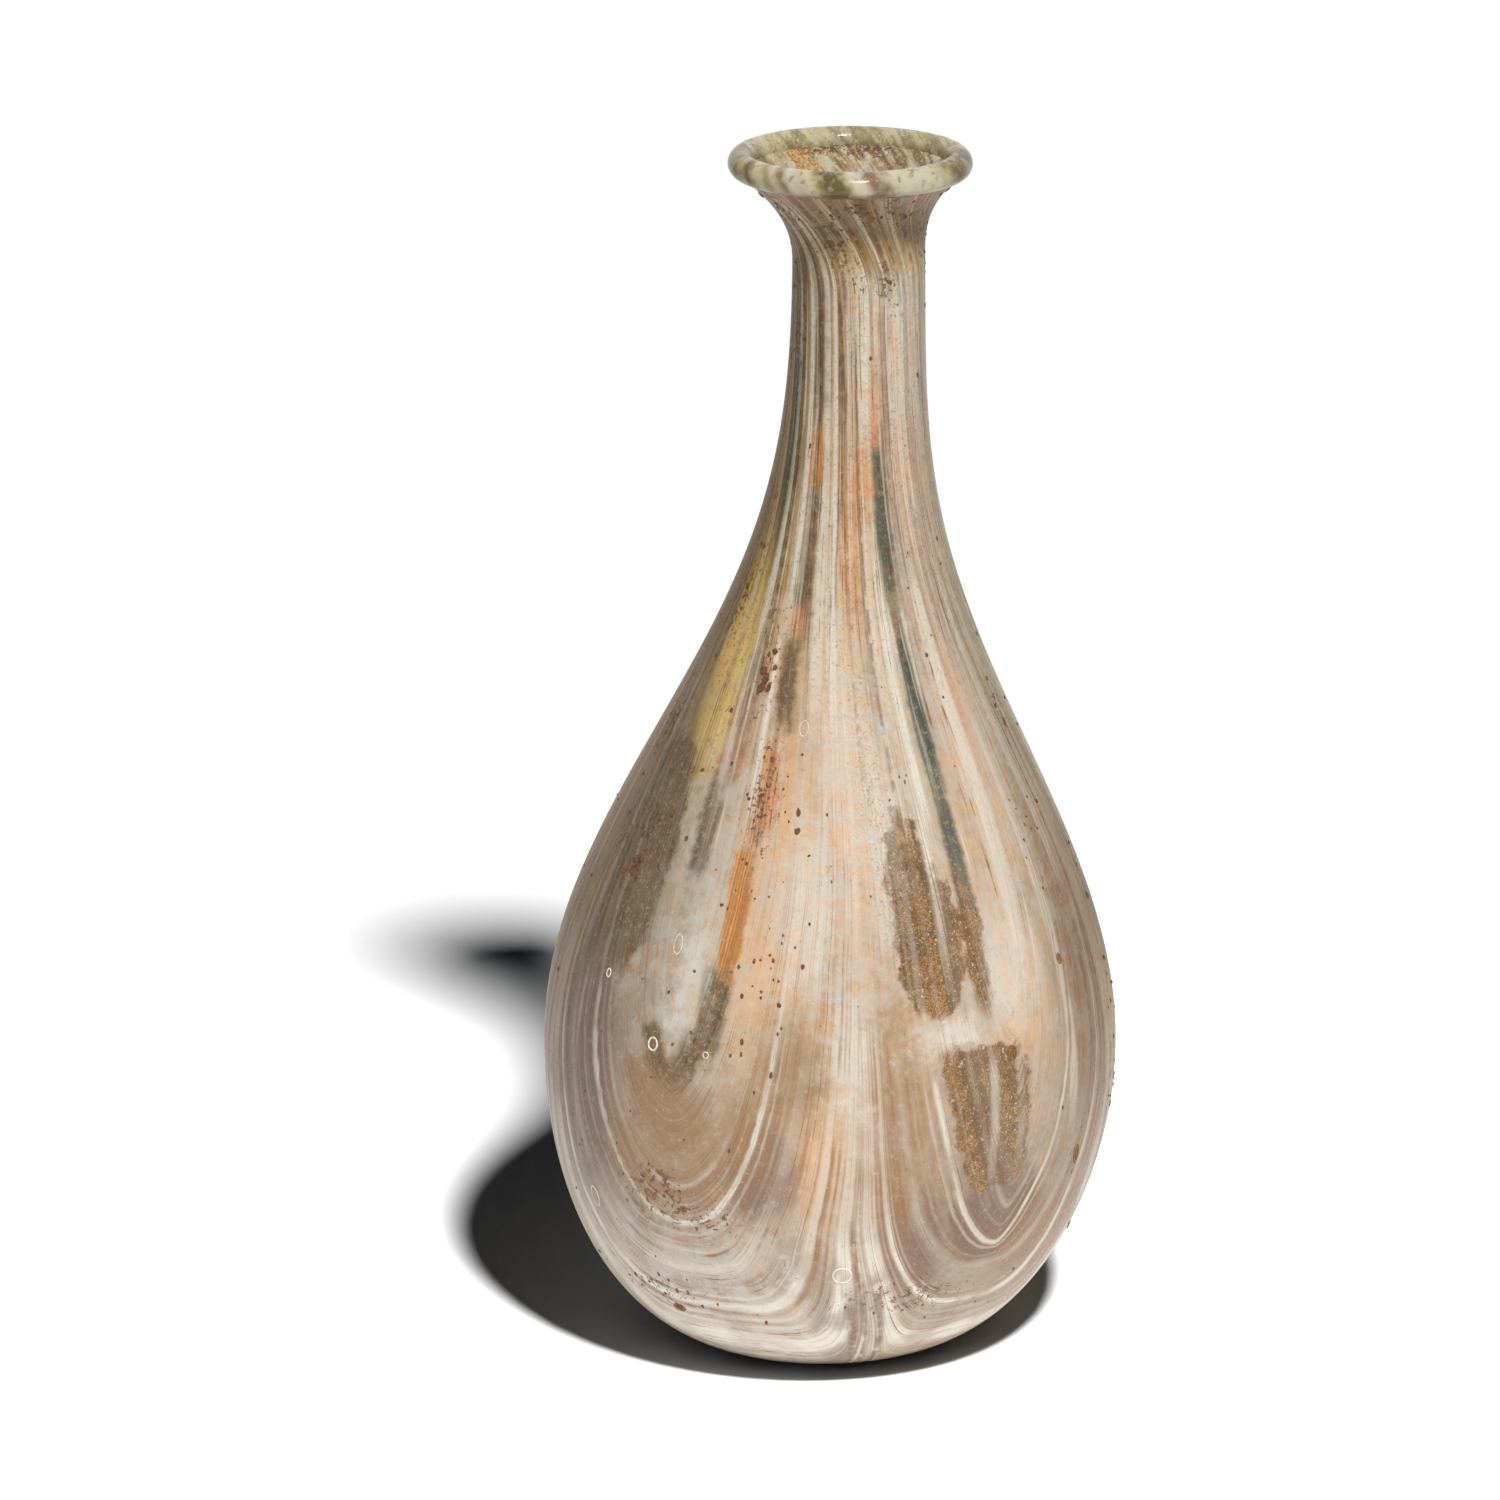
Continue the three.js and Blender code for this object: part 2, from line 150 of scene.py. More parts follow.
# The five lobes of the combed swags. A lobe lies between two azimuths in degrees, where the comb dragged
# the trails up. A row is one contour of a lobe: how low it hangs, as a share of the neck's height, its
# number in the pattern that all lobes share, the azimuth of its lowest point, and how boxy its left and
# right arms are.
LOBE_SHARES = [
    (-74, 6, [
        (-0.10, -12, -30, 13, 14), (0.000, 0, -30, 12, 13), (0.032, 4, -30, 9, 10), (0.060, 7.5, -31, 6, 6.5),
        (0.087, 11, -32, 4.2, 4.2), (0.125, 15.5, -33, 3.0, 2.6),
        (0.159, 19, -33, 2.6, 2.3), (0.171, 20, -33, 2.0, 2.15), (0.238, 29, -33, 1.9, 2.0),
        (0.290, 36, -33, 1.9, 1.9), (0.302, 38, -33, 1.4, 1.45), (0.365, 46, -35, 1.3, 1.3),
        (0.556, 70, -35, 1.3, 1.3)]),
    (6, 77, [
        (-0.10, -12, 34, 15, 12), (0.000, 0, 34, 14, 11), (0.032, 4, 34, 11, 8), (0.060, 7.5, 35, 7, 4.5),
        (0.087, 11, 36, 5.0, 2.5), (0.125, 15.5, 37, 3.3, 2.25),
        (0.144, 20, 38, 1.75, 1.35), (0.181, 25, 40, 1.3, 1.3), (0.290, 36, 40, 1.4, 1.3),
        (0.365, 46, 40, 1.5, 1.4), (0.556, 70, 40, 1.5, 1.4)]),
    (77, 147, [
        (-0.10, -12, 112, 13, 13), (0.000, 0, 112, 12, 12), (0.032, 4, 112, 9, 8), (0.060, 7.5, 112, 6, 5.5),
        (0.090, 11, 113, 3.8, 3.6), (0.130, 15.5, 113, 2.8, 2.6), (0.165, 20, 112, 2.2, 2.0),
        (0.230, 28, 111, 1.9, 1.8), (0.365, 46, 110, 1.5, 1.4), (0.556, 70, 110, 1.5, 1.4)]),
    (147, 217, [
        (-0.10, -12, 183, 13, 13), (0.000, 0, 183, 12, 12), (0.032, 4, 183, 8, 9), (0.057, 7.5, 183, 6, 6),
        (0.083, 11, 183, 3.9, 4.0), (0.118, 15.5, 182, 3.0, 2.8), (0.150, 20, 182, 2.3, 2.4),
        (0.220, 28, 181, 1.8, 2.0), (0.340, 46, 182, 1.4, 1.4), (0.556, 70, 182, 1.4, 1.4)]),
    (217, 286, [
        (-0.10, -12, 252, 13, 13), (0.000, 0, 252, 12, 12), (0.032, 4, 252, 8, 9), (0.062, 7.5, 252, 5.5, 6),
        (0.092, 11, 252, 3.7, 3.9), (0.135, 15.5, 251, 2.7, 2.9), (0.180, 20, 251, 2.1, 2.3),
        (0.250, 28, 250, 1.8, 1.7), (0.370, 46, 250, 1.4, 1.4), (0.556, 70, 250, 1.4, 1.4)]),
]
COMB_START_SHARE = 0.032
COMB_PITCH_SHARE = 0.175
ARM_THINNING = 0.55

# How the contour through a place is searched for, and the limits of how closely contours lie
CONTOUR_SEARCHES = 34
CONTOUR_STEP_SHARE = 0.002
NEAREST_SHARE = 0.001
TIGHTEST_CROWDING = 0.15
WIDEST_CROWDING = 12


def column_azimuths():
    """The untwisted azimuth of each of the mesh's columns. The lobes' edges lie on one."""
    return np.concatenate([
        np.linspace(low, high, COLUMNS_PER_LOBE, endpoint=False) for low, high, _ in LOBE_SHARES
    ])


def swag_numbers(azimuth, height):
    """The contour number at untwisted azimuths and heights, and how closely the contours lie there."""
    pitch = COMB_PITCH_SHARE
    step = CONTOUR_STEP_SHARE
    share = height / NECK_HEIGHT
    left = np.exp((COMB_START_SHARE - share) / pitch)
    number = np.zeros(np.broadcast(azimuth, height).shape)
    crowding = np.ones(number.shape)
    for low, high, rows in LOBE_SHARES:
        inside = ((azimuth >= low) & (azimuth < high)) & np.ones(number.shape, bool)
        levels, numbers, middles, powers_left, powers_right = np.array(rows, float).T

        def shape_at(level):
            middle = np.interp(level, levels, middles)
            offset = azimuth - middle
            half = np.where(offset < 0, middle - low, high - middle)
            left_power = np.interp(level, levels, powers_left)
            right_power = np.interp(level, levels, powers_right)
            return np.abs(offset) / half, np.where(offset < 0, left_power, right_power), half

        below = np.full(number.shape, -1.0)
        above = np.broadcast_to(share, number.shape).copy()
        for _ in range(CONTOUR_SEARCHES):
            level = (below + above) / 2
            reach, power, half = shape_at(level)
            short = np.exp((COMB_START_SHARE - level) / pitch) > left + reach**power
            below = np.where(short, level, below)
            above = np.where(short, above, level)
        reach, power, half = shape_at(level)
        change = (shape_at(level + step)[1] - shape_at(level - step)[1]) / (2 * step)
        reach = np.maximum(reach, NEAREST_SHARE)
        slope = np.exp((COMB_START_SHARE - level) / pitch) / pitch + reach**power * np.log(reach) * change
        up = left / pitch / slope / NECK_HEIGHT
        around = power * reach ** (power - 1) / slope / (np.radians(half) * outer_radius(height))
        here = np.interp(level, levels, numbers)
        gain = np.interp(level + step, levels, numbers) - np.interp(level - step, levels, numbers)
        grade = gain / (2 * step)
        number = np.where(inside, here, number)
        crowding = np.where(inside, np.hypot(up, around) * grade * UNIT, crowding)
    return number, np.clip(crowding, TIGHTEST_CROWDING, WIDEST_CROWDING)


# White and clear tracks and dark lines that run up the wall: azimuth in the untwisted pattern and half width
# in degrees, lowest and highest place as shares of the neck's height, and strength
WHITE_TRACK_SHARES = [
    (-66, 0.8, 0.38, 0.66, 0.75), (-62, 0.7, 0.18, 0.4, 0.5), (-58, 2, 0.6, 1.03, 0.35),
    (-47, 2.2, 0.66, 1.03, 0.5), (-34, 2.7, 0.46, 1.08, 0.8), (-23.4, 1.7, 0.52, 0.69, 0.9),
    (-20.5, 2.2, 0.69, 1.08, 0.9), (-8, 1.2, 0.3, 0.52, 0.3), (-5.5, 3.2, 0.6, 1.08, 0.7),
    (2, 2.2, 0.58, 1.07, 0.8), (4.5, 1.9, 0.22, 0.64, 0.55), (12, 1, 0.5, 1, 0.35),
    (21.5, 1, 0.72, 1.02, 0.8), (25.5, 1.5, 0.4, 0.56, 0.9), (27, 2.4, 0.5, 0.76, 0.9),
    (29.5, 1.3, 0.86, 1.08, 0.9), (34.5, 1.3, 0.2, 0.34, 0.9), (39, 3, 0.58, 0.72, 0.7),
    (41, 1.1, 0.22, 0.34, 0.8), (44.5, 0.7, 0.24, 0.36, 0.35), (45, 2.4, 0.7, 1.08, 0.9),
    (47.5, 4, 0.36, 0.74, 0.75), (53, 1.2, 0.7, 1.02, 0.7), (57, 1.6, 0.22, 0.62, 0.7),
    (58, 2.6, 0.9, 1, 0.8), (65, 1.2, 0.88, 1.02, 0.8), (69, 3.4, 0.44, 1.08, 0.55),
    (75, 1.6, 0.3, 1.02, 0.5),
]
CLEAR_TRACK_SHARES = [
    (-52, 3, 0.72, 1.02, 0.5), (-40, 2, 0.7, 1, 0.5), (-27, 2.2, 0.68, 1.02, 0.6),
    (-13, 2.2, 0.5, 1, 0.95), (8, 2.6, 0.62, 0.98, 0.35), (33, 1.8, 0.375, 1, 1),
    (57, 5, 0.7, 0.98, 0.35), (63, 2, 0.36, 0.8, 0.5),
]
DARK_LINE_SHARES = [
    (-44, 0.7, 0.74, 1, 0.5), (-30.5, 0.7, 0.78, 1, 0.6), (-26, 1.6, 0.97, 1.08, 0.9),
    (-17, 0.4, 0.6, 0.98, 0.4), (-13, 2, 0.97, 1.08, 1), (-1, 1.2, 0.98, 1.08, 0.9),
    (1.5, 0.9, -0.1, 0.12, 0.8), (4.8, 1, -0.1, 0.19, 0.9), (8.8, 0.9, -0.1, 0.13, 0.9),
    (10.5, 0.5, 0.55, 0.9, 0.5), (11, 2.4, 0.96, 1.08, 1), (16.5, 0.5, 0.5, 0.8, 0.5),
    (19, 0.7, 0.45, 0.95, 0.9), (35, 1.6, 0.99, 1.08, 0.9), (45, 0.7, 0.72, 0.94, 0.7),
    (51, 2.2, 0.98, 1.08, 0.9), (60, 1.4, 0.97, 1.08, 1), (66, 0.7, 0.3, 0.8, 0.6),
    (72.5, 0.7, 0.2, 0.6, 0.7), (77.6, 1.2, -0.1, 0.3, 0.9), (79, 2.4, 0.98, 1.08, 0.9),
    (147.5, 1.2, -0.1, 0.3, 0.9), (217.5, 1.2, -0.1, 0.3, 0.9),
]

# Patches of burial crust and of bare glass that show through the wall, of frost and soil on it, and where
# glints
# are painted (shine, glints): azimuth and height of the middle, half width in degrees, half height, how boxy
# it is if it isn't an oval, and for some the contours that it lies between. Heights are shares of the neck's.
PATCH_SHARES = {
    "peach": [
        (-14, 0.476, 13, 0.19), (-6, 0.302, 10, 0.12), (0, 0.754, 15, 0.15), (4, 0.58, 12, 0.18),
        (14, 0.34, 4, 0.09, 3), (42, 0.42, 9, 0.12, 3),
    ],
    "amber": [(-29, 0.837, 6.5, 0.028, 7), (-23, 0.458, 2.8, 0.055, 5), (20, 0.395, 1.5, 0.02)],
    "dark": [
        (-58, 0.484, 13, 0.105, 2.5, 14, 70), (-37.5, 0.524, 3.2, 0.045, 3),
        (-33, 0.31, 10, 0.045, 5, 36.5, 41), (-33, 0.93, 6.5, 0.064, 4), (-25.5, 0.75, 5, 0.058, 5),
        (-25, 0.373, 3.6, 0.045, 4, 34.5, 60), (-23.2, 0.648, 4.2, 0.04, 6),
    ],
    "mauve": [
        (-60, 0.3, 12, 0.1), (-47, 0.225, 6, 0.06, 3, 20.8, 25), (-14, 0.235, 8, 0.055),
        (3, 0.06, 7, 0.08), (17, 0.16, 8, 0.06), (38, 0.17, 12, 0.05),
    ],
    "tan": [
        (-42, 0.28, 6, 0.05), (-34, 0.245, 14, 0.065), (-17, 0.27, 6, 0.05), (-8, 0.325, 8, 0.05),
        (14, 0.28, 6, 0.12), (60, 0.12, 20, 0.06), (66, 0.35, 8, 0.15),
    ],
    "ochre": [(-56, 0.672, 12, 0.065), (-50, 0.61, 8, 0.05), (-44, 0.67, 6, 0.04)],
    "sand": [
        (-37, 0.6, 4.5, 0.035, 3), (-32, 0.655, 4, 0.025), (-25, 0.694, 4, 0.01, 4),
        (-22, 0.558, 4, 0.042, 3), (-2, 0.785, 5, 0.03), (2, 0.73, 5, 0.03), (6, 0.82, 7, 0.035),
        (12, 0.89, 5, 0.05), (22, 0.88, 6, 0.03), (24, 0.94, 12, 0.03),
    ],
    "brown": [
        (18.5, 0.485, 5.8, 0.055), (22.5, 0.43, 8, 0.065, 2.2), (31, 0.272, 12, 0.068, 5, 21.5, 42),
        (33.5, 0.43, 2.6, 0.05, 2.5),
    ],
    "green": [
        (-56, 0.86, 6, 0.1), (18.6, 0.82, 6, 0.12, 4), (28.6, 0.63, 3.4, 0.08, 3),
        (33, 0.48, 2.4, 0.12, 3),
    ],
    "salmon": [(-18, 0.25, 5, 0.03), (42, 0.84, 13, 0.1), (42, 0.93, 18, 0.05, 4), (45, 0.62, 8, 0.09)],
    "olive": [(-76, 0.5, 10, 0.3), (-66, 0.86, 26, 0.16, 3), (20, 1.01, 24, 0.03), (78, 0.45, 9, 0.3)],
    "frost": [
        (-31, 0.4, 5, 0.06), (-6, 0.47, 7, 0.08), (0, 0.62, 9, 0.12), (4, 0.338, 5, 0.06),
        (12.5, 0.54, 6, 0.1), (26, 0.355, 10, 0.02, 3), (42, 0.4, 8, 0.05),
    ],
    "soil": [
        (-76, 0.587, 5, 0.02), (-72, 0.977, 8, 0.02), (-70, 0.5, 4, 0.02), (-65, 0.936, 7, 0.02),
        (-63.5, 0.716, 3, 0.03), (-58, 0.506, 3, 0.012), (-57, 0.472, 3, 0.012), (-57, 1.06, 14, 0.03),
        (-45, 0.09, 8, 0.01), (-38, 0.2, 6, 0.02), (-33, 0.655, 4, 0.03), (-28, 0.18, 6, 0.01),
        (-22.5, 0.55, 3, 0.035), (-19, 1.036, 10, 0.02), (-15, 1.03, 12, 0.03), (3, 1.062, 10, 0.012),
        (20, 0.1, 10, 0.012), (26, 0.99, 8, 0.012), (27, 1.06, 8, 0.015), (60, 0.21, 3, 0.012),
        (60, 1.045, 16, 0.02), (73, 0.6, 4, 0.02), (82, 1.01, 8, 0.03),
    ],
    "shine": [(10, 0.55, 16, 0.16), (24, 0.46, 12, 0.1), (33, 0.27, 10, 0.06)],
    "glints": [(10, 0.55, 2, 0.06), (15, 0.475, 1.8, 0.04), (21, 0.439, 5, 0.007), (38, 0.26, 2.5, 0.04)],
}
KINDS = list(PATCH_SHARES)

# The depth that places far from every patch have, in units
FARTHEST_DEPTH = -12.0

# How wide the back's seeded patches are, in degrees
BACK_WIDTHS = {
    "amber": 2.5, "dark": 5, "sand": 4, "brown": 4, "ochre": 5, "peach": 6, "salmon": 4, "green": 3,
    "frost": 7, "soil": 4, "shine": 8, "mauve": 8,
}


def more_for_the_back():
    """Seeded tracks and patches for the three lobes that turn away from the front."""
    for low, high, _ in LOBE_SHARES[2:]:
        for place in np.linspace(low + 4, high - 4, 7):
            around = place + random.uniform(-3, 3)
            start = random.uniform(0.36, 0.6)
            end = random.uniform(0.98, 1.04)
            wide = random.uniform(1.2, 3.4)
            WHITE_TRACK_SHARES.append((around, wide, start, end, random.uniform(0.5, 0.95)))
            DARK_LINE_SHARES.append((around + wide + 1.5, 0.6, start + 0.1, 0.95, random.uniform(0.3, 0.8)))
        for place in np.linspace(low + 12, high - 12, 3):
            around = place + random.uniform(-5, 5)
            CLEAR_TRACK_SHARES.append((around, random.uniform(2, 3.4), 0.4, 1.0, random.uniform(0.5, 1)))
        middle = (low + high) / 2
        for kind, size in BACK_WIDTHS.items():
            for _ in range(2):
                around = middle + random.uniform(-30, 30)
                height = random.uniform(0.22, 0.85)
                wide = random.uniform(0.7, 1.6) * size
                PATCH_SHARES[kind].append((around, height, wide, random.uniform(0.03, 0.1), 3))
        PATCH_SHARES["olive"].append((middle, 0.86, 24, 0.15, 3))
        PATCH_SHARES["peach"] += [(middle + 8, 0.6, 16, 0.2), (low, 0.3, 8, 0.12)]
        PATCH_SHARES["brown"].append((middle - 3, 0.27, 9, 0.05, 4, 22, 40))
        PATCH_SHARES["dark"].append((middle + 4, 0.36, 12, 0.05, 4, 38, 43))
        PATCH_SHARES["soil"] += [(middle, 1.06, 12, 0.015), (middle + 20, 0.1, 8, 0.012)]


def apart(azimuth, other):
    """The signed angle between azimuths in degrees."""
    return (azimuth - other + 180) % 360 - 180


# How a track fades out: from and to which part of its half width, and before and after its two ends
TRACK_EDGE_SHARES = (0.75, 1.2)
TRACK_START_SHARES = (-0.04, 0.06)
TRACK_END_SHARES = (-0.03, 0.02)


def track_strength(tracks, azimuth, height):
    """How strongly any of the tracks shows."""
    share = height / NECK_HEIGHT
    strength = np.zeros(np.broadcast(azimuth, height).shape)
    for around, half, start, end, amount in tracks:
        across = 1 - smooth(np.abs(apart(azimuth, around)), *(half * part for part in TRACK_EDGE_SHARES))
        begun = smooth(share, *(start + part for part in TRACK_START_SHARES))
        ended = smooth(share, *(end + part for part in TRACK_END_SHARES))
        strength = np.maximum(strength, amount * across * (begun * (1 - ended)))
    return strength


def patch_depth(kind, azimuth, height, number, crowding):
    """How deep inside the nearest patch of a kind, in units, or how far outside as a minus."""
    share = height / NECK_HEIGHT
    depth = np.full(number.shape, FARTHEST_DEPTH)
    units_per_degree = np.radians(1) * outer_radius(height) / UNIT
    for around, middle, half, tall, *rest in PATCH_SHARES[kind]:
        power, *limits = rest or [2]
        untwisted = around - twist(middle * NECK_HEIGHT)
        across = np.abs(apart(azimuth, untwisted)) / half
        along = np.abs(share - middle) / tall
        size = np.minimum(half * units_per_degree, tall * NECK_HEIGHT / UNIT)
        inside = (1 - (across**power + along**power) ** (1 / power)) * size
        if limits:
            between = np.minimum(number - limits[0], limits[1] - number) / crowding
            inside = np.minimum(inside, between)
        depth = np.maximum(depth, inside)
    return depth


# Orange stains of the mouth's film: azimuth, height as a share of the lip's, and half sizes. They fade out
# between two shares of their size.
FILM_RUST_SHARES = [
    (-146, 0.985, 16, 0.03), (176, 0.965, 14, 0.03), (155, 0.955, 8, 0.03), (-120, 0.95, 14, 0.02),
]
FILM_RUST_EDGE_SHARES = (0.4, 1.3)


def film_rust(azimuth, height):
    """How rusty the film inside the mouth is."""
    shown = np.zeros(np.broadcast(azimuth, height).shape)
    for around, middle, half, tall in FILM_RUST_SHARES:
        across = apart(azimuth, around) / half
        along = (height / LIP_HEIGHT - middle) / tall
        shown = np.maximum(shown, 1 - smooth(np.hypot(across, along), *FILM_RUST_EDGE_SHARES))
    return shown


def profile_heights():
    """Heights of the outside from the resting ring to the lip."""
    bowl = WIDEST_HEIGHT * (1 - np.cos(np.linspace(0, math.pi / 2, BOWL_ROWS + 1)[1:]))
    shoulder = np.linspace(WIDEST_HEIGHT, LIP_HEIGHT, SHOULDER_ROWS + 1)[1:]
    return np.concatenate([bowl, shoulder])


def wall_profile():
    """The wall's section as radius and height, and how many of its rows are outside."""
    heights = profile_heights()
    kick_radii = np.linspace(0, KICK_RADIUS, KICK_ROWS + 1)[1:]
    kick_heights = KICK_DEPTH * (1 - (kick_radii / KICK_RADIUS) ** 2)
    ring_radii = np.linspace(KICK_RADIUS, BASE_RADIUS, FOOT_ROWS + 1)[1:]
    inner = heights[:: -INSIDE_EVERY]
    nr, nz = profile_normal(inner)
    thick = thickness(inner)
    in_r = outer_radius(inner) - nr * thick
    in_z = inner - nz * thick
    under_rim = RIM_HEIGHT - RIM_SECTION * UNDER_RIM_SHARE
    kick_back = kick_heights[::-1] + FLOOR
    radius = [kick_radii, ring_radii, outer_radius(heights), [RIM_RADIUS, RIM_RADIUS], in_r, kick_radii[::-1]]
    height = [kick_heights, ring_radii * 0, heights, [under_rim, RIM_HEIGHT], in_z, kick_back]
    outside_rows = len(kick_radii) + len(ring_radii) + len(heights) + 1
    return np.concatenate(radius), np.concatenate(height), outside_rows


def smooth_mesh(name, points, faces):
    """A smoothly shaded mesh."""
    mesh = bpy.data.meshes.new(name)
    mesh.from_pydata(points, [], faces)
    mesh.polygons.foreach_set("use_smooth", np.ones(len(mesh.polygons), bool))
    return mesh


def turned(name, x, y, z, closed=False):
    """A mesh of rows that each go round once. Rows that aren't closed end in a middle point."""
    rows, sides = x.shape
    points = np.stack([x, y, z], axis=-1).reshape(-1, 3)
    count = rows if closed else rows - 1
    row, column = np.meshgrid(np.arange(count), np.arange(sides), indexing="ij")
    after = (column + 1) % sides
    above = (row + 1) % rows
    corners = [row * sides + column, row * sides + after, above * sides + after, above * sides + column]
    faces = np.stack(corners, axis=-1).reshape(-1, 4).tolist()
    if not closed:
        first, last = len(points), len(points) + 1
        points = np.concatenate([points, points[:sides].mean(0)[None], points[-sides:].mean(0)[None]])
        top = (rows - 1) * sides
        for i in range(sides):
            faces.append((first, (i + 1) % sides, i))
            faces.append((last, top + i, top + (i + 1) % sides))
    return smooth_mesh(name, points.tolist(), faces)


def store(mesh, name, *parts):
    """Keep up to three numbers per point for the materials. The middle points repeat the first one."""
    values = np.zeros((len(mesh.vertices), 3))
    for i, part in enumerate(parts):
        flat = np.asarray(part, float).reshape(-1)
        values[: len(flat), i] = flat
        values[len(flat) :, i] = flat[0]
    attribute = mesh.attributes.new(name, "FLOAT_VECTOR", "POINT")
    attribute.data.foreach_set("vector", values.reshape(-1))


def placed(name, data):
    """A new object in the scene."""
    made = bpy.data.objects.new(name, data)
    bpy.context.scene.collection.objects.link(made)
    return made


def add_piece(name, mesh, slot, *materials):
    """A piece that rides on the bottle's one body."""
    piece = placed(name, mesh)
    for material in materials:
        mesh.materials.append(material)
    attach(piece, "root")
    return piece


def tone(red, green, blue):
    """A colour that is written as it looks, from 0 to 255."""
    value = np.array([red, green, blue]) / 255
    return tuple(np.where(value <= 0.04045, value / 12.92, ((value + 0.055) / 1.055) ** 2.4).tolist())


# How far the materials' noise is drawn out along the swags, along the tracks and where the mouth was wiped
SWAG_DRAW = 0.05
TRACK_DRAW = 0.02
WIPE_DRAW = (2.4, 0.4, 0.4)
WIPE_SLANT = 40

# How deep the relief of the surfaces is
GLASS_GRAIN = 0.16 * UNIT
FILM_GRAIN = 0.5 * UNIT
RIM_GRAIN = 0.25 * UNIT
DIRT_GRAIN = 0.4 * UNIT


class Value:
    """What a node gives out. A sum of values adds the nodes that work it out."""

    def __init__(self, graph, socket):
        self.graph = graph
        self.socket = socket

    def __add__(self, other):
        return self.graph.math("ADD", self, other)

    def __sub__(self, other):
        return self.graph.math("SUBTRACT", self, other)

    def __mul__(self, other):
        return self.graph.math("MULTIPLY", self, other)

    def __truediv__(self, other):
        return self.graph.math("DIVIDE", self, other)

    def __or__(self, other):
        """The larger of two values."""
        return self.graph.math("MAXIMUM", self, other)

    def __abs__(self):
        return self.graph.math("ABSOLUTE", self)

    def clamped(self):
        """The same value, kept between 0 and 1 by its own node."""
        self.socket.node.use_clamp = True
        return self

    def fade(self, low, high, start=0, end=1):
        """An even curve from start at low to end at high."""
        inputs = {"Value": self, "From Min": low, "From Max": high, "To Min": start, "To Max": end}
        return self.graph.value("MapRange", inputs, interpolation_type="SMOOTHSTEP")


class Graph:
    """The nodes of a material or of the world."""

    def __init__(self, tree):
        self.tree = tree

    def put(self, socket, given):
        """Link a value to an input, or set the input to a number, place or colour."""
        if isinstance(given, Value):
            self.tree.links.new(given.socket, socket)
        elif socket.type == "RGBA":
            socket.default_value = (*given, 1)
        else:
            socket.default_value = given

    def node(self, kind, inputs, **settings):
        """A node with its settings, and its inputs by name or number."""
        made = self.tree.nodes.new("ShaderNode" + kind)
        for name, setting in settings.items():
            setattr(made, name, setting)
        for name, given in inputs.items():
            self.put(made.inputs[name], given)
        return made

    def value(self, kind, inputs, output=0, **settings):
        """One output of a new node."""
        return Value(self, self.node(kind, inputs, **settings).outputs[output])

    def math(self, operation, *terms):
        return self.value("Math", dict(enumerate(terms)), operation=operation)

    def mix(self, amount, first, second, data_type="RGBA", blend_type="MIX"):
        """The first colour where the amount is 0 and the second where it is 1."""
        inputs = {"Factor": amount, "A": first, "B": second}
        return self.value("Mix", inputs, "Result", data_type=data_type, blend_type=blend_type)

    def blend(self, amount, first, second):
        """A mix of two numbers."""
        return self.mix(amount, first, second, data_type="FLOAT")

    def coated(self, colour, *coats):
        """A colour with others laid over it in turn: how strongly each shows, and the colour itself."""
        for amount, coat in coats:
            colour = self.mix(amount, colour, coat)
        return colour

    def camera_switch(self, seen, other):
        """A colour that the camera, mirrors and glass see, and another one that lights the object."""
        path = self.node("LightPath", {})
        camera, glossy, through = (
            Value(self, path.outputs[f"Is {kind} Ray"]) for kind in ("Camera", "Glossy", "Transmission")
        )
        return self.mix(camera | glossy | through, other, seen)


class Material(Graph):
    """A material whose colour, gloss and relief follow the place on the bottle."""

    def __init__(self, name):
        self.material = bpy.data.materials.new(name)
        self.material.use_nodes = True
        super().__init__(self.material.node_tree)
        self.shader = self.tree.nodes["Principled BSDF"]
        here = self.value("TexCoord", {}, "Object")
        self.spot = self.value("VectorMath", {0: here, "Scale": 1 / UNIT}, operation="SCALE")

    def stored(self, name):
        """The three numbers of a stored value."""
        read = self.value("Attribute", {}, "Vector", attribute_name=name)
        return [Value(self, part) for part in self.node("SeparateXYZ", {0: read}).outputs]

    def noise(self, scale, detail=2, roughness=0.5, spot=None):
        inputs = {"Vector": spot or self.spot, "Scale": scale, "Detail": detail, "Roughness": roughness}
        return self.value("TexNoise", inputs, "Fac")

    def wiped(self):
        """Noise in slanted strokes, as the film in the mouth has them."""
        inputs = {"Vector": self.spot, "Angle": math.radians(WIPE_SLANT)}
        slanted = self.value("VectorRotate", inputs, rotation_type="Y_AXIS")
        drawn_out = self.value("VectorMath", {0: slanted, 1: WIPE_DRAW}, operation="MULTIPLY")
        return self.noise(0.5, 3, spot=drawn_out)

    def bump(self, height, distance, strength=1):
        inputs = {"Strength": strength, "Distance": distance, "Height": height}
        self.put(self.shader.inputs["Normal"], self.value("Bump", inputs))

    def finish(self, **sockets):
        for name, given in sockets.items():
            self.put(self.shader.inputs[name.replace("_", " ")], given)
        return self.material


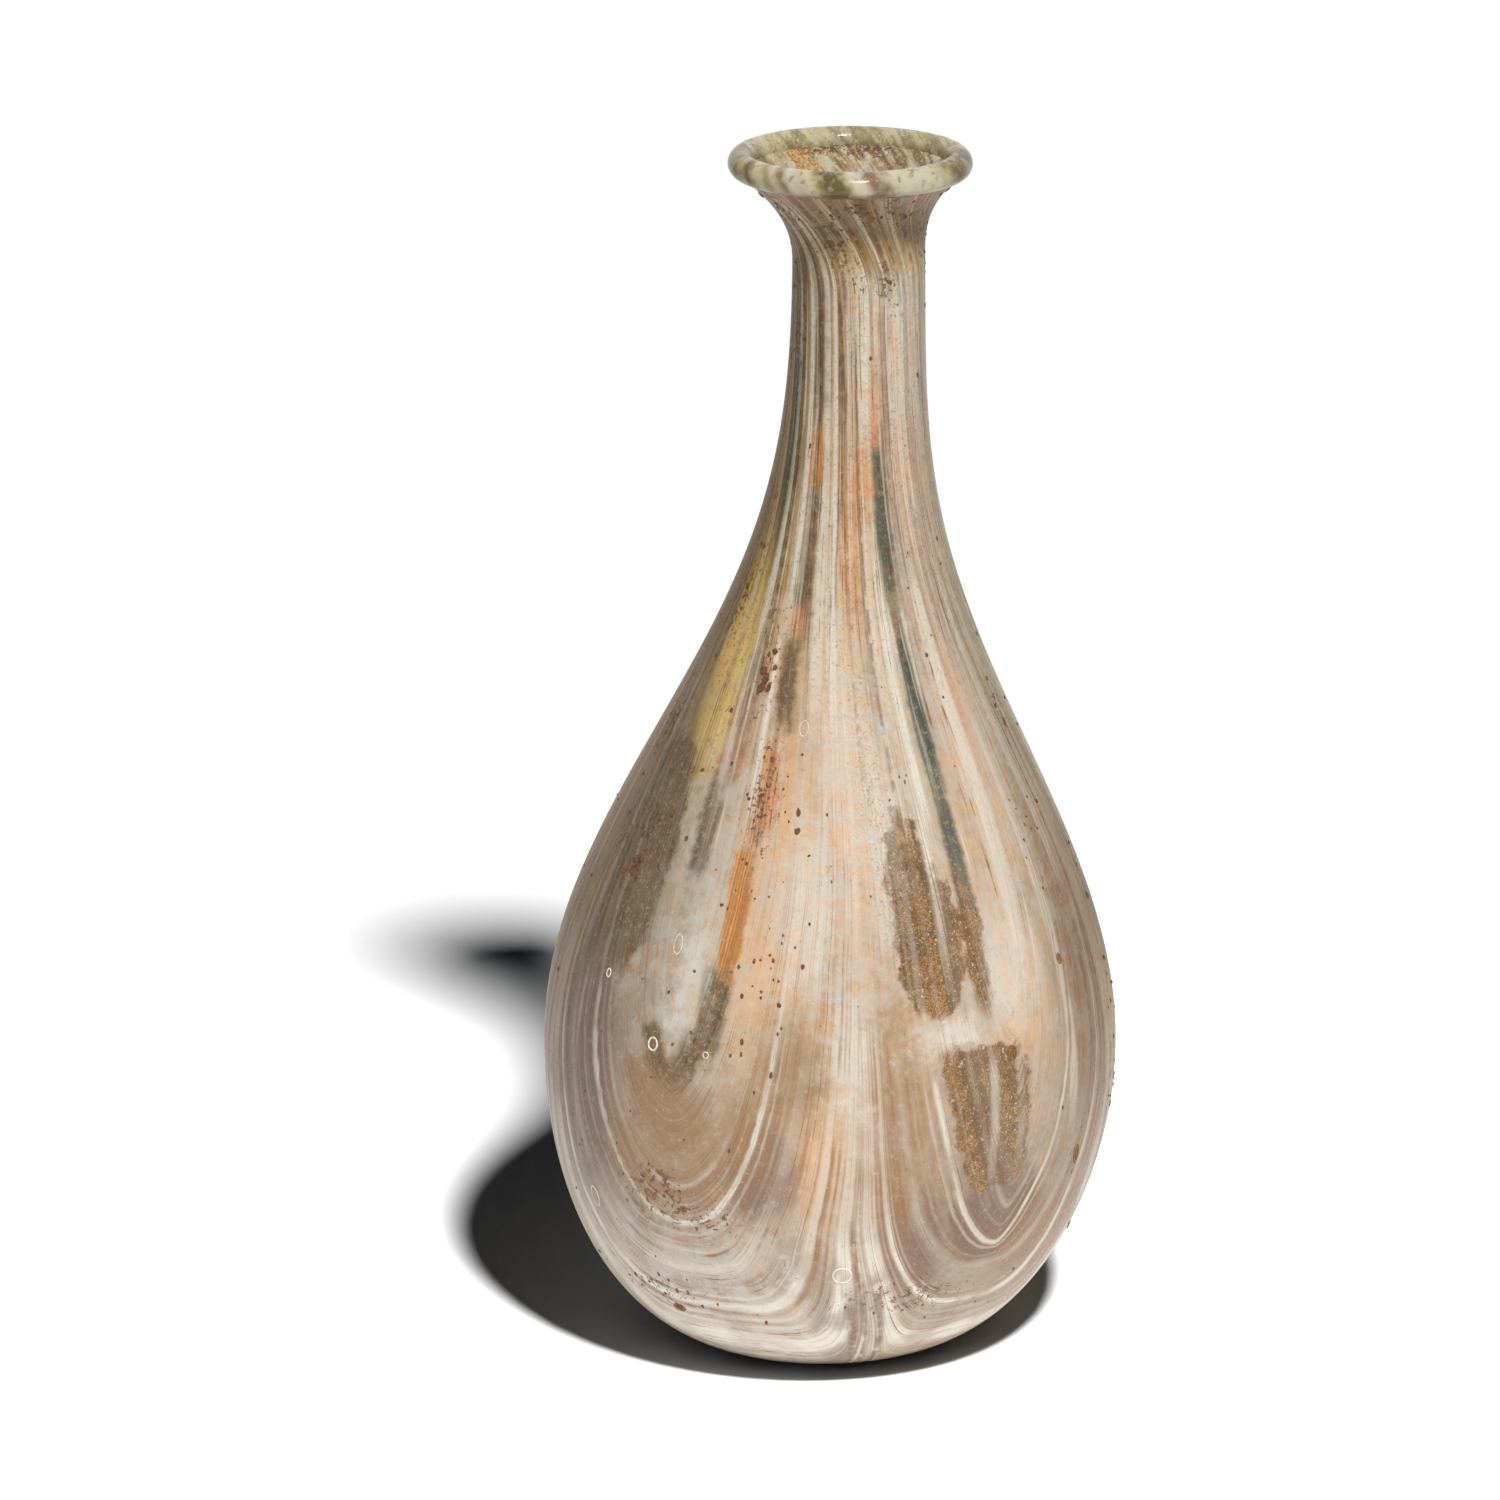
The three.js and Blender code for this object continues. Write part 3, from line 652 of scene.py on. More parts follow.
# The white bands of the swags: contour number, width in units, softness and strength
WHITE_BANDS = [
    (-6.5, 0.8, 0.5, 0.6), (-3, 1.2, 0.5, 0.8), (0.5, 0.5, 0.5, 0.6), (3, 0.4, 0.6, 0.5),
    (5.8, 3.2, 0.5, 1), (8.2, 0.4, 0.5, 0.5), (9.4, 0.35, 0.6, 0.4), (11, 0.9, 0.6, 1),
    (12.2, 0.25, 0.6, 0.5), (15.5, 1.3, 0.9, 0.5), (17.3, 0.3, 0.7, 0.3), (19, 0.25, 0.5, 0.5),
    (20, 0.6, 0.5, 0.95), (22.4, 0.3, 0.6, 0.4), (25, 0.9, 0.9, 0.5), (28, 3, 0.9, 0.3),
    (44, 5, 0.9, 0.6),
]
BROWN_BANDS = [
    (-5, 0.25, 0.5, 0.5), (-1.2, 0.2, 0.5, 0.6), (1.8, 0.2, 0.5, 0.5), (7.4, 0.25, 0.6, 0.5),
    (8.8, 0.25, 0.5, 0.7), (10.1, 0.35, 0.5, 0.9), (12, 0.2, 0.6, 0.5), (13.9, 0.3, 0.6, 0.8),
    (18.3, 0.25, 0.6, 0.4), (21.2, 0.25, 0.6, 0.6), (23.6, 0.3, 0.6, 0.3),
]
# Bare, brownish glass between the white bands
TAN_BANDS = [
    (-4.7, 2.4, 0.6, 0.7), (-1, 1.6, 0.6, 0.8), (1.8, 1.2, 0.6, 0.7), (8.4, 3.6, 0.5, 0.9),
    (13.4, 2.2, 0.7, 0.5), (17.8, 2.6, 0.6, 0.75), (22.8, 2, 0.6, 0.4),
]

# How far past its width a band fades out, in units
BAND_EDGE = 0.12

# How each kind of backing shows: colour, how soft and how ragged its edge is in units, and how clear the
# glass over it is
BACKING = {
    "olive": (tone(112, 92, 54), 1.6, 2.2, 0.75),
    "peach": (tone(214, 172, 130), 5.0, 9.0, 0.35),
    "salmon": (tone(214, 168, 136), 3.0, 3.0, 0.60),
    "ochre": (tone(190, 162, 92), 3.0, 3.0, 0.75),
    "dark": (tone(92, 76, 52), 0.6, 2.2, 0.70),
    "mauve": (tone(128, 106, 94), 2.0, 3.0, 0.80),
    "tan": (tone(150, 118, 84), 3.0, 6.0, 0.52),
    "green": (tone(58, 64, 54), 0.5, 0.8, 0.92),
    "amber": (tone(176, 116, 58), 0.4, 1.4, 0.92),
    "sand": (tone(172, 122, 82), 0.7, 3.4, 0.72),
    "brown": (tone(138, 104, 66), 0.4, 3.4, 0.92),
}
# The kinds that are grainy, those in streaks, and those that the white lines cover less
GRANULAR = ("brown",)
STREAKY = ("dark", "green", "olive", "amber", "ochre", "sand")
LITTLE_WHITE = ("brown", "amber", "dark", "green")


class CombedGlass(Material):
    """Milky glass with white swags and tracks, over whatever shows through from behind."""

    def __init__(self):
        super().__init__("combed_glass")
        self.number, self.crowding, self.height = self.stored("swag")
        self.around_x, self.around_y, self.swagged = self.stored("turn")
        self.white_track, self.clear_track, self.dark_line = self.stored("tracks")
        self.flank_shade = self.stored("film")[2]
        self.depths = {}
        for i in range(0, len(KINDS), 3):
            self.depths.update(zip(KINDS[i : i + 3], self.stored(f"backing_{i // 3}")))
        # The left side, which is made darker further down as painted shade
        self.left = self.around_y.fade(-5, -11)
        self.right = self.around_y.fade(1, 6)
        self.necked = self.height.fade(62, 96)
        self.fine = self.noise(0.7, 3)
        self.grain = self.noise(3.2, 3, 0.7)
        self.cloud = self.noise(0.22, 4, 0.6)
        self.flecks = self.noise(2.2, 5, 0.75)
        self.stained = self.noise(1.1, 5, 0.75).fade(0.54, 0.62)
        self.wandered = self.number + (self.noise(0.1) - 0.5) * 0.9 + (self.fine - 0.5) * 0.12
        self.streaks = self.along_the_flow(0.45, 6)
        self.stripes = self.along_the_flow(0.7, 5)
        self.lines = self.along_the_flow(1.7, 3)

    def along_the_flow(self, scale, detail):
        """Noise that is drawn out along the swags low down and along the tracks higher up."""
        swag = {0: self.wandered, 1: self.around_x * SWAG_DRAW, 2: self.around_y * SWAG_DRAW}
        track = {0: self.around_x, 1: self.around_y, 2: self.height * TRACK_DRAW}
        along_swag = self.noise(1.8 * scale, detail, 0.62, self.value("CombineXYZ", swag))
        along_track = self.noise(scale, detail, 0.7, self.value("CombineXYZ", track))
        return self.blend(self.swagged, along_track, along_swag)

    def bands(self, rows):
        """How strongly any of the swags' bands shows."""
        shown = 0
        for middle, wide, soft, strength in rows:
            off = abs(self.wandered - middle) / self.crowding
            shown = off.fade(wide / 2 * (1 - soft), wide / 2 * (1 + soft) + BAND_EDGE, strength, 0) | shown
        return shown * self.height.fade(22, 80, 1, 0.2)

    def whiteness(self):
        """How white the swags, tracks and thin lines make the glass. They are weaker in the front cusp."""
        patchy = self.noise(0.16).fade(0.3, 0.55, 0.55, 1)
        swags = self.bands(WHITE_BANDS) * self.lines.fade(0.3, 0.6, 0.75, 1.05)
        tracks = self.white_track * self.stripes.fade(0.37, 0.53, 0.35, 1.1)
        thin = self.lines.fade(0.55, 0.63) * self.blend(self.swagged, 0.8, 0.18)
        cusp = abs(self.around_y - 0.8).fade(3.4, 1.2) * self.height.fade(16, 26) * self.height.fade(62, 46)
        return ((swags * patchy | tracks | thin) * cusp.fade(0, 1, 1, 0.64)).clamped()

    def bare(self):
        """The colour behind the milk, before any patch."""
        cloudy = self.cloud.fade(0.35, 0.65)
        tan = self.bands(TAN_BANDS) * self.right.fade(0, 1, 0.35, 1)
        low = self.mix(tan, self.mix(cloudy, tone(168, 142, 114), tone(130, 111, 90)), tone(150, 121, 88))
        high = self.mix(cloudy, tone(192, 164, 124), tone(144, 124, 88))
        return self.coated(
            self.mix(self.height.fade(34, 80), low, high),
            (self.height.fade(84, 112, 0, 0.8) * self.blend(self.right, 1, 0.3), tone(126, 102, 66)),
            (self.height.fade(127, 131, 0, 0.85), tone(108, 78, 46)),
            # Painted shade: a darker brown on the left side
            (self.left * self.height.fade(128, 120, 0.1, 0.7), tone(100, 80, 54)),
        )

    def granular(self, colour):
        """Coarse grains of crust, from dark ones to glints."""
        darker = tuple(0.42 * part for part in colour)
        lighter = tuple(1.8 * part for part in colour)
        broad = self.mix(self.noise(0.4, 5, 0.7).fade(0.38, 0.62), colour, lighter)
        return self.coated(
            self.mix(self.noise(5, 5, 0.75).fade(0.4, 0.58), darker, broad),
            (self.streaks.fade(0.54, 0.4, 0, 0.6), darker),
            (self.flecks.fade(0.58, 0.65, 0, 0.8), tone(230, 208, 172)),
        )

    def streaky(self, colour):
        """Crust or bare glass in streaks along the flow, stained and flecked."""
        return self.coated(
            self.mix(self.stripes.fade(0.4, 0.6), colour, tuple(1.7 * part for part in colour)),
            (self.stained * 0.5, tone(146, 104, 62)),
            (self.flecks.fade(0.56, 0.64, 0, 0.5), tone(184, 172, 146)),
        )

    def seen_through(self):
        """What shows from behind, how clear the glass over it is, and how much white may lie over it."""
        colour = self.bare()
        clear = self.clear_track * 0.9
        free = 1
        for kind, (tint, soft, ragged, openness) in BACKING.items():
            edge = self.noise(0.5 if ragged < 5 else 0.2, 5, 0.65)
            shown = (self.depths[kind] + (edge - 0.5) * ragged).fade(-soft, soft)
            if kind in GRANULAR:
                tint = self.granular(tint)
            elif kind in STREAKY:
                tint = self.streaky(tint)
            colour = self.mix(shown, colour, tint)
            clear |= shown * openness
            if kind in LITTLE_WHITE:
                free = shown.fade(0, 1, 1, 0.6) * free
        return colour, clear, free

    def frost(self):
        """Where the glass is frosted."""
        return (self.depths["frost"] + (self.noise(0.5, 5, 0.7) - 0.5) * 9).fade(-2, 2.5)

    def soil(self):
        """Dark stains, in blots and in short strokes along the flow."""
        near = self.depths["soil"].fade(-3, 1.5, 0, 0.18)
        blots = (self.noise(1.5, 4, 0.7) + near).fade(0.7, 0.74)
        strokes = (self.along_the_flow(2.2, 4) + near).fade(0.66, 0.72)
        return blots | strokes * self.noise(0.55).fade(0.52, 0.62)

    def haze(self, clear, frost):
        """How milky the glass is beside the white lines."""
        haze = (self.streaks - 0.5) * self.blend(self.swagged, 2.3, 0.5)
        haze += (self.cloud - 0.5) * 0.7
        haze += self.height.fade(60, 110, 0.46, 0.25)
        haze += self.right * self.height.fade(102, 116, 0, 0.5)
        haze += self.height.fade(28, 10) * self.around_y.fade(-3, 3, 0.85, 0.05)
        # Less milk on the left, so the darker backing shows: painted shade
        haze += self.left * -0.12
        haze -= self.height.fade(125, 130, 0, 0.9) * self.around_y.fade(-4, 2)
        haze += self.right * self.height.fade(56, 84) * 0.35
        haze -= clear * self.streaks.fade(0.2, 0.7, 1, 0.62)
        return (haze + frost * 0.55).clamped()

    def milk(self, white, frost):
        """The colour of the milky glass and of the white lines in it."""
        low = self.mix(self.cloud.fade(0.4, 0.6), tone(190, 175, 157), tone(168, 152, 134))
        high = self.mix(self.stripes.fade(0.42, 0.56), tone(194, 182, 168), tone(220, 211, 188))
        mottle = self.noise(0.42, 6, 0.68).fade(0.49, 0.58) * self.height.fade(34, 50, 0.15, 1)
        return self.coated(
            self.mix(self.height.fade(22, 70), low, high),
            (mottle * 0.6, tone(224, 178, 138)),
            (self.noise(0.5, 5, 0.6).fade(0.48, 0.6, 0, 0.8), tone(188, 185, 174)),
            (white | frost * 0.5, self.mix(self.necked, tone(225, 217, 202), tone(216, 210, 192))),
        )

    def marks(self, clear):
        """What lies over the milk, the lowest first: how strongly it shows, and its colour."""
        stripe = self.stripes.fade(0.48, 0.4) * (self.necked * self.blend(self.right, 0.85, 0.3))
        stripe *= self.height.fade(131, 124, 0.7, 1)
        striped = self.mix(self.fine.fade(0.4, 0.6), tone(80, 58, 34), tone(132, 108, 70))
        hairs = self.along_the_flow(3.4, 3).fade(0.42, 0.36) * self.cloud.fade(0.4, 0.55, 0.3, 0.85)
        rusty = self.lines.fade(0.4, 0.3) * self.cloud.fade(0.45, 0.6) * self.blend(self.swagged, 0.5, 0.2)
        dark = self.dark_line * self.fine.fade(0.35, 0.55)
        dark |= self.lines.fade(0.38, 0.28) * self.blend(self.swagged, 0.8, 0.15)
        worn = self.noise(1.3, 8, 0.8)
        washed = self.noise(0.36, 5, 0.6).fade(0.46, 0.6, 0, 0.36) * self.height.fade(34, 54, 0.3, 1)
        washed *= self.necked.fade(0, 1, 1, 0.2)
        return [
            (stripe, striped),
            (self.flecks.fade(0.54, 0.64) * self.necked.fade(0, 1, 0.05, 0.45), tone(104, 82, 50)),
            (self.bands(BROWN_BANDS) * self.noise(0.12).fade(0.38, 0.6) * 0.85, tone(150, 104, 58)),
            (hairs, tone(136, 98, 58)),
            (rusty, tone(168, 116, 66)),
            (dark * 0.75, self.mix(self.necked, tone(96, 66, 38), tone(74, 60, 44))),
            (self.soil() * 0.85, tone(92, 58, 26)),
            (worn.fade(0.54, 0.66, 0, 0.22), tone(240, 232, 214)),
            (worn.fade(0.45, 0.33, 0, 0.32), tone(112, 84, 54)),
            (washed * clear.fade(0.3, 0.8, 1, 0.1), tone(196, 193, 182)),
        ]

    def shades(self):
        """Tints of the foot, the neck's left, the flare and the flanks: how strong, and their colour. The
        neck's left and the flanks are darkened as painted shade.
        """
        foot = self.height.fade(44, 24, 0, 0.4) * self.blend(self.right, 0.25, 1)
        # Painted shade darkens and browns the neck's left
        neck = self.necked * self.left * self.height.fade(128, 122, 0.2, 1)
        # Painted shade on the flanks, the sides as seen from the front
        flank_shade = self.flank_shade * self.height.fade(12, 36, 0.5, 1)
        flank_shade *= self.blend(self.right, 1, self.height.fade(48, 70, 1.1, 0.5))
        flare = self.height.fade(122, 129)
        return [
            (foot, (0.66, 0.61, 0.55)), (neck, (0.86, 0.74, 0.52)),
            (flare, (1, 0.92, 0.75)), (flank_shade, (0.44, 0.37, 0.26)),
        ]

    def colour(self):
        behind, clear, free = self.seen_through()
        white = self.whiteness() * free
        frost = self.frost()
        shown = self.mix(self.haze(clear, frost) | white, behind, self.milk(white, frost))
        shown = self.coated(shown, *self.marks(clear))
        for amount, tint in self.shades():
            shown = self.mix(amount, shown, tint, blend_type="MULTIPLY")
        return shown

    def made(self):
        # Painted highlights: white glints laid into the colour where the noise peaks, most in the shine and
        # glints patches; there the surface is also smoother and bumped
        spark = self.noise(2.9, 5, 0.8) + self.depths["shine"].fade(-6, 6, -0.05, 0)
        spark += self.depths["glints"].fade(-1.5, 1, 0, 0.07)
        glint = spark.fade(0.635, 0.665)
        shown = self.mix(glint * 0.85, self.colour(), tone(250, 246, 238))
        rough = self.blend(glint, self.grain.fade(0.3, 0.7, 0.34, 0.58), 0.15)
        self.bump(self.grain * 0.5 + (self.fine + glint * 1.5), GLASS_GRAIN, 0.8)
        self.finish(Base_Color=shown, Roughness=rough, Coat_Weight=0.05, Coat_Roughness=0.2, IOR=1.5)
        return self.finish(Specular_IOR_Level=0.14)


def mouth_film():
    """The granular film inside the flare and neck."""
    g = Material("mouth_film")
    rust, crease = g.stored("film")[:2]
    cloud = g.noise(0.35, 4, 0.6)
    grain = g.noise(2.4, 5, 0.8)
    wiped = g.wiped()
    gold = g.mix(grain.fade(0.4, 0.6), tone(204, 138, 72), tone(246, 208, 142))
    blots = (g.noise(1.8, 5, 0.75) + (crease - 1) * 0.5).fade(0.46, 0.53)
    colour = g.coated(
        g.mix(cloud.fade(0.35, 0.62), tone(236, 218, 170), tone(196, 164, 116)),
        (wiped.fade(0.52, 0.6, 0, 0.7), tone(244, 240, 222)),
        (wiped.fade(0.49, 0.42, 0, 0.8), tone(132, 96, 56)),
        ((rust + (cloud - 0.5) * 2).fade(0.45, 0.75), gold),
        (grain.fade(0.52, 0.64, 0, 0.7), tone(244, 238, 216)),
        (grain.fade(0.44, 0.34, 0, 0.8), tone(122, 90, 54)),
        (blots * 0.85, tone(92, 58, 30)),
    )
    g.bump(grain, FILM_GRAIN)
    return g.finish(Base_Color=colour, Roughness=0.5)


def rim_glass():
    """Clear banded glass, whose back carries the mouth's film on its inner side."""
    g = Material("rim_glass")
    banded = g.value("Attribute", {}, "Vector", attribute_name="tint")
    film, low = g.stored("film")[:2]
    fine = g.noise(0.9, 3)
    grain = g.noise(2.4, 5, 0.8)
    wiped = g.wiped()
    filmed = g.coated(
        g.mix(grain.fade(0.42, 0.6), tone(150, 132, 98), tone(204, 196, 166)),
        (wiped.fade(0.5, 0.58, 0, 0.7), tone(208, 202, 178)),
        (wiped.fade(0.48, 0.4, 0, 0.6), tone(136, 110, 72)),
    )
    colour = g.coated(
        banded,
        (fine.fade(0.48, 0.65, 0, 0.35), tone(214, 208, 180)),
        (fine.fade(0.47, 0.32, 0, 0.6), tone(118, 102, 60)),
        # Darker brown towards the roll's underside
        (low * 0.75, tone(104, 82, 48)),
        ((film + (fine - 0.5)).fade(0.35, 0.7, 0, 0.65), filmed),
    )
    g.bump(fine, RIM_GRAIN, 0.5)
    g.finish(Base_Color=colour, Roughness=0.2, Coat_Weight=0.2, Coat_Roughness=0.05)
    return g.finish(Specular_IOR_Level=0.08)


# The radius in units on which the pattern's noise goes round, and the contours and heights where swags end
TURN_RADIUS = 12
SWAGGED_CONTOURS = (40, 54)
SWAGGED_HEIGHTS = (60, 90)

# The dirt in the crease under the roll, and the painted shade on the flanks, by azimuth from the middle
CREASE_HEIGHT = 2.2 * UNIT
CREASE_AZIMUTH = 182
CREASE_FADE = (25, 60)
FLANK_SHADE_FADE_IN = (40, 88)
FLANK_SHADE_FADE_OUT = (100, 150)


def add_wall():
    """The whole blown wall, whose points carry what its material draws the pattern from."""
    radius, height, outside_end = wall_profile()
    azimuth = column_azimuths()[None, :]
    outline = np.minimum(height, LIP_HEIGHT)[:, None]
    angle = np.radians(azimuth + twist(outline))
    side = lean(height)[:, None]
    x = radius[:, None] * np.sin(angle) + side
    y = -radius[:, None] * np.cos(angle)
    z = np.broadcast_to(height[:, None], x.shape)
    mesh = turned("glass_wall", x, y, z)
    number, crowding = swag_numbers(azimuth, np.maximum(outline, UNIT))
    units_high = np.broadcast_to(outline / UNIT, x.shape)
    swagged = (1 - smooth(number, *SWAGGED_CONTOURS)) * (1 - smooth(units_high, *SWAGGED_HEIGHTS))
    store(mesh, "swag", number, crowding**ARM_THINNING, units_high)
    spin = np.radians(azimuth + 0 * outline)
    store(mesh, "turn", TURN_RADIUS * np.cos(spin), TURN_RADIUS * np.sin(spin), swagged)
    tables = (WHITE_TRACK_SHARES, CLEAR_TRACK_SHARES, DARK_LINE_SHARES)
    store(mesh, "tracks", *[track_strength(table, azimuth, outline) for table in tables])
    depths = [patch_depth(kind, azimuth, outline, number, crowding) for kind in KINDS]
    for i in range(0, len(KINDS), 3):
        store(mesh, f"backing_{i // 3}", *depths[i : i + 3])
    turned_azimuth = azimuth + twist(outline)
    beside = np.abs(apart(turned_azimuth, CREASE_AZIMUTH))
    crease = smooth(outline, LIP_HEIGHT - CREASE_HEIGHT, LIP_HEIGHT) * (1 - smooth(beside, *CREASE_FADE))
    # Painted shade on the flanks, strongest at the sides as seen from the front
    sideways = np.abs(apart(turned_azimuth, 0))
    flank_shade = smooth(sideways, *FLANK_SHADE_FADE_IN) * (1 - smooth(sideways, *FLANK_SHADE_FADE_OUT))
    store(mesh, "film", film_rust(turned_azimuth, outline), crease, flank_shade)
    sides = azimuth.shape[1]
    slots = np.zeros(len(mesh.polygons), np.int32)
    slots[outside_end * sides :] = 1
    wall = add_piece("glass_wall", mesh, "body_glass", CombedGlass().made(), mouth_film())
    mesh.polygons.foreach_set("material_index", slots)
    trails = [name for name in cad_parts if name.startswith("white_trail")]
    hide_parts("blown_wall", *trails)


# The tones of the rolled rim's glass
RIM_TONES = {
    "white": (215, 211, 201), "pearl": (201, 193, 191), "cream": (213, 206, 185), "pale": (205, 205, 190),
    "ivory": (206, 200, 170), "straw": (190, 184, 142), "tan": (170, 152, 120), "mauve": (158, 138, 126),
    "khaki": (160, 152, 114), "taupe": (140, 117, 96), "sage": (134, 126, 90), "olive": (121, 115, 75),
    "moss": (109, 99, 67), "brown": (110, 84, 44), "umber": (92, 80, 52), "shaded": (74, 62, 40),
}

# Its bands by azimuth in degrees, from the front left round to the front right. The dark umber and shaded
# bands at the right end are painted shade of the roll's side.
RIM_BANDS = {
    -90: "moss", -84: "olive", -76: "khaki", -69: "olive", -62: "straw", -57: "brown", -52: "ivory",
    -47: "cream", -43: "tan", -38: "cream", -33: "taupe", -29: "white", -24: "pearl", -18: "cream",
    -15: "khaki", -11: "moss", -3: "moss", 0: "khaki", 3: "white", 8: "pearl", 11: "taupe", 18: "mauve",
    24: "pale", 34: "pale", 45: "pale", 56: "khaki", 62: "moss", 70: "sage", 82: "umber", 90: "shaded",
}

# The bands behind: their middle colour, and how far apart they are in degrees
RIM_BACK = (176, 170, 126)
RIM_BACK_STEP = 7

# How far the bands slant over the roll in degrees, and the tint of the glass
RIM_LAG = 4
RIM_GLASS = (0.97, 0.89, 0.72)

# How the roll grows thicker and thinner round its ring: how many times, how much, and from which angle on
RIM_SWELL_SHARES = [(2, 0.05, 0.6), (5, 0.03, 2.0)]

# Where the film of the mouth lies on the roll, by azimuth from the back and by how far in, and from how far
# down the roll's underside turns darker
FILMED_AZIMUTHS = (110, 60)
FILMED_INWARD_SHARES = (-0.35, 0.4)
DARKER_DOWNWARD_SHARES = (0.45, 0.95)


def rim_bands():
    """All bands of the roll: those of the front and, behind, seeded lighter and darker ones."""
    front = [(place, RIM_TONES[name]) for place, name in RIM_BANDS.items()]
    places = np.arange(front[-1][0] + RIM_BACK_STEP, front[0][0] + 360, RIM_BACK_STEP)
    behind = [(place, tuple(random.uniform(0.6, 1.15) * np.array(RIM_BACK))) for place in places]
    return front + behind


def add_rim():
    """The rolled rim, an uneven ring that leans with the neck."""
    sides = COLUMNS_PER_LOBE * len(LOBE_SHARES)
    azimuth = np.arange(sides)[None, :] * 360 / sides
    section = np.arange(RIM_ROWS)[:, None] * 2 * math.pi / RIM_ROWS
    spin = np.radians(azimuth)
    swell = 1 + sum(size * np.sin(times * spin + start) for times, size, start in RIM_SWELL_SHARES)
    radius = RIM_RADIUS + RIM_SECTION * swell * np.cos(section)
    x = radius * np.sin(spin) + RIM_LEAN
    y = -radius * np.cos(spin)
    z = RIM_HEIGHT + RIM_SECTION * np.sin(section) + 0 * spin
    mesh = turned("rim_roll", x, y, z, closed=True)
    bands = rim_bands()
    places = [row[0] for row in bands]
    colours = np.array([tone(*row[1]) for row in bands]) * RIM_GLASS
    lagging = azimuth + RIM_LAG * np.sin(section)
    store(mesh, "tint", *[np.interp(lagging, places, colours[:, i], period=360) for i in range(3)])
    behind = smooth(np.abs(apart(azimuth, 180)), *FILMED_AZIMUTHS)
    inner = smooth(-np.cos(section), *FILMED_INWARD_SHARES) + 0 * spin
    under = smooth(-np.sin(section), *DARKER_DOWNWARD_SHARES) + 0 * spin
    store(mesh, "film", behind * inner, under)
    rim = add_piece("rim_roll", mesh, "rim_glass", rim_glass())
    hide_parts("rolled_rim")


# Bubbles and pits on the glass: azimuth and height share, radius, how tall for its width, thickness of the
# ring, and whether dirt sits in it
BUBBLE_SHARES = [
    (-54, 0.384, 0.36, 1.3, 0.08, False), (-38, 0.336, 0.6, 1.2, 0.11, False),
    (-36, 0.424, 0.55, 2, 0.04, False), (-13, 0.609, 0.5, 1.8, 0.04, False),
    (-25.5, 0.335, 0.32, 1.1, 0.06, False), (39, 0.327, 0.55, 1.3, 0.13, True),
    (57.5, 0.393, 0.34, 1.6, 0.08, True), (60.8, 0.208, 0.42, 2.2, 0.12, True),
    (-39.8, 0.073, 0.75, 0.7, 0.14, True), (3.5, 0.13, 1.05, 1, 0.08, False),
    (-31, 0.186, 0.42, 0.8, 0.07, True), (-58, 0.17, 0.7, 1.8, 0.04, False),
]
# How wide the dirt in a soiled pit is, as a share of the pit
PIT_DIRT_SHARE = 0.7

# Clusters of dirt specks: azimuth and height share, spread round and up, how many, and radius
SPECK_SHARES = [
    (-18, 0.4, 7, 0.055, 42, 0.17), (-57, 0.47, 1.5, 0.012, 10, 0.28),
    (-58, 0.506, 1.5, 0.015, 12, 0.22), (-75, 0.585, 3, 0.02, 14, 0.22),
    (-32, 0.655, 1.6, 0.01, 9, 0.34), (-63.5, 0.715, 1.5, 0.03, 14, 0.22),
    (-31, 0.185, 6, 0.012, 9, 0.14), (-11, 0.545, 4, 0.025, 8, 0.22), (-23.5, 0.55, 1.6, 0.04, 13, 0.17),
    (-49, 0.53, 5, 0.03, 8, 0.22), (73, 0.6, 3, 0.02, 8, 0.2), (60, 0.51, 5, 0.04, 8, 0.2),
    (82, 0.3, 3, 0.11, 22, 0.22), (30, 0.085, 14, 0.012, 10, 0.15), (-45, 0.095, 12, 0.012, 18, 0.17),
    (3, 1.062, 16, 0.005, 14, 0.16), (27, 1.058, 9, 0.006, 10, 0.16), (-57, 1.055, 12, 0.008, 10, 0.15),
    (-19, 1.036, 5, 0.01, 6, 0.15), (-70, 0.96, 6, 0.03, 10, 0.15), (26, 0.99, 5, 0.008, 5, 0.14),
    (82, 1, 5, 0.03, 10, 0.18), (-40, 0.26, 14, 0.07, 20, 0.14), (20, 0.6, 30, 0.15, 30, 0.11),
    (150, 0.5, 60, 0.3, 90, 0.18), (240, 0.45, 50, 0.3, 90, 0.18), (180, 1.06, 60, 0.008, 40, 0.24),
]
LOWEST_SPECK_SHARE = 0.02
HIGHEST_SPECK_SHARE = 1.068

# The rings of points that make a speck: how wide and how far out, as shares of its radius
SPECK_RING_SHARES = [(1.0, -0.25), (0.8, 0.3), (0.35, 0.5)]
SPECK_SIDES = 7

# The steps of a bubble's ring, round the ring and round its section
RING_SIDES = 24
TUBE_SIDES = 8


def wall_frame(azimuth, height):
    """A place on the outside of the wall, and the directions round it, up it and out of it."""
    a = math.radians(azimuth)
    nr, nz = (float(part) for part in profile_normal(height))
    radius = float(outer_radius(height))
    place = np.array([radius * math.sin(a) + float(lean(height)), -radius * math.cos(a), height])
    out = np.array([nr * math.sin(a), -nr * math.cos(a), nz])
    around = np.array([math.cos(a), math.sin(a), 0])
    return place, around, np.cross(out, around), out


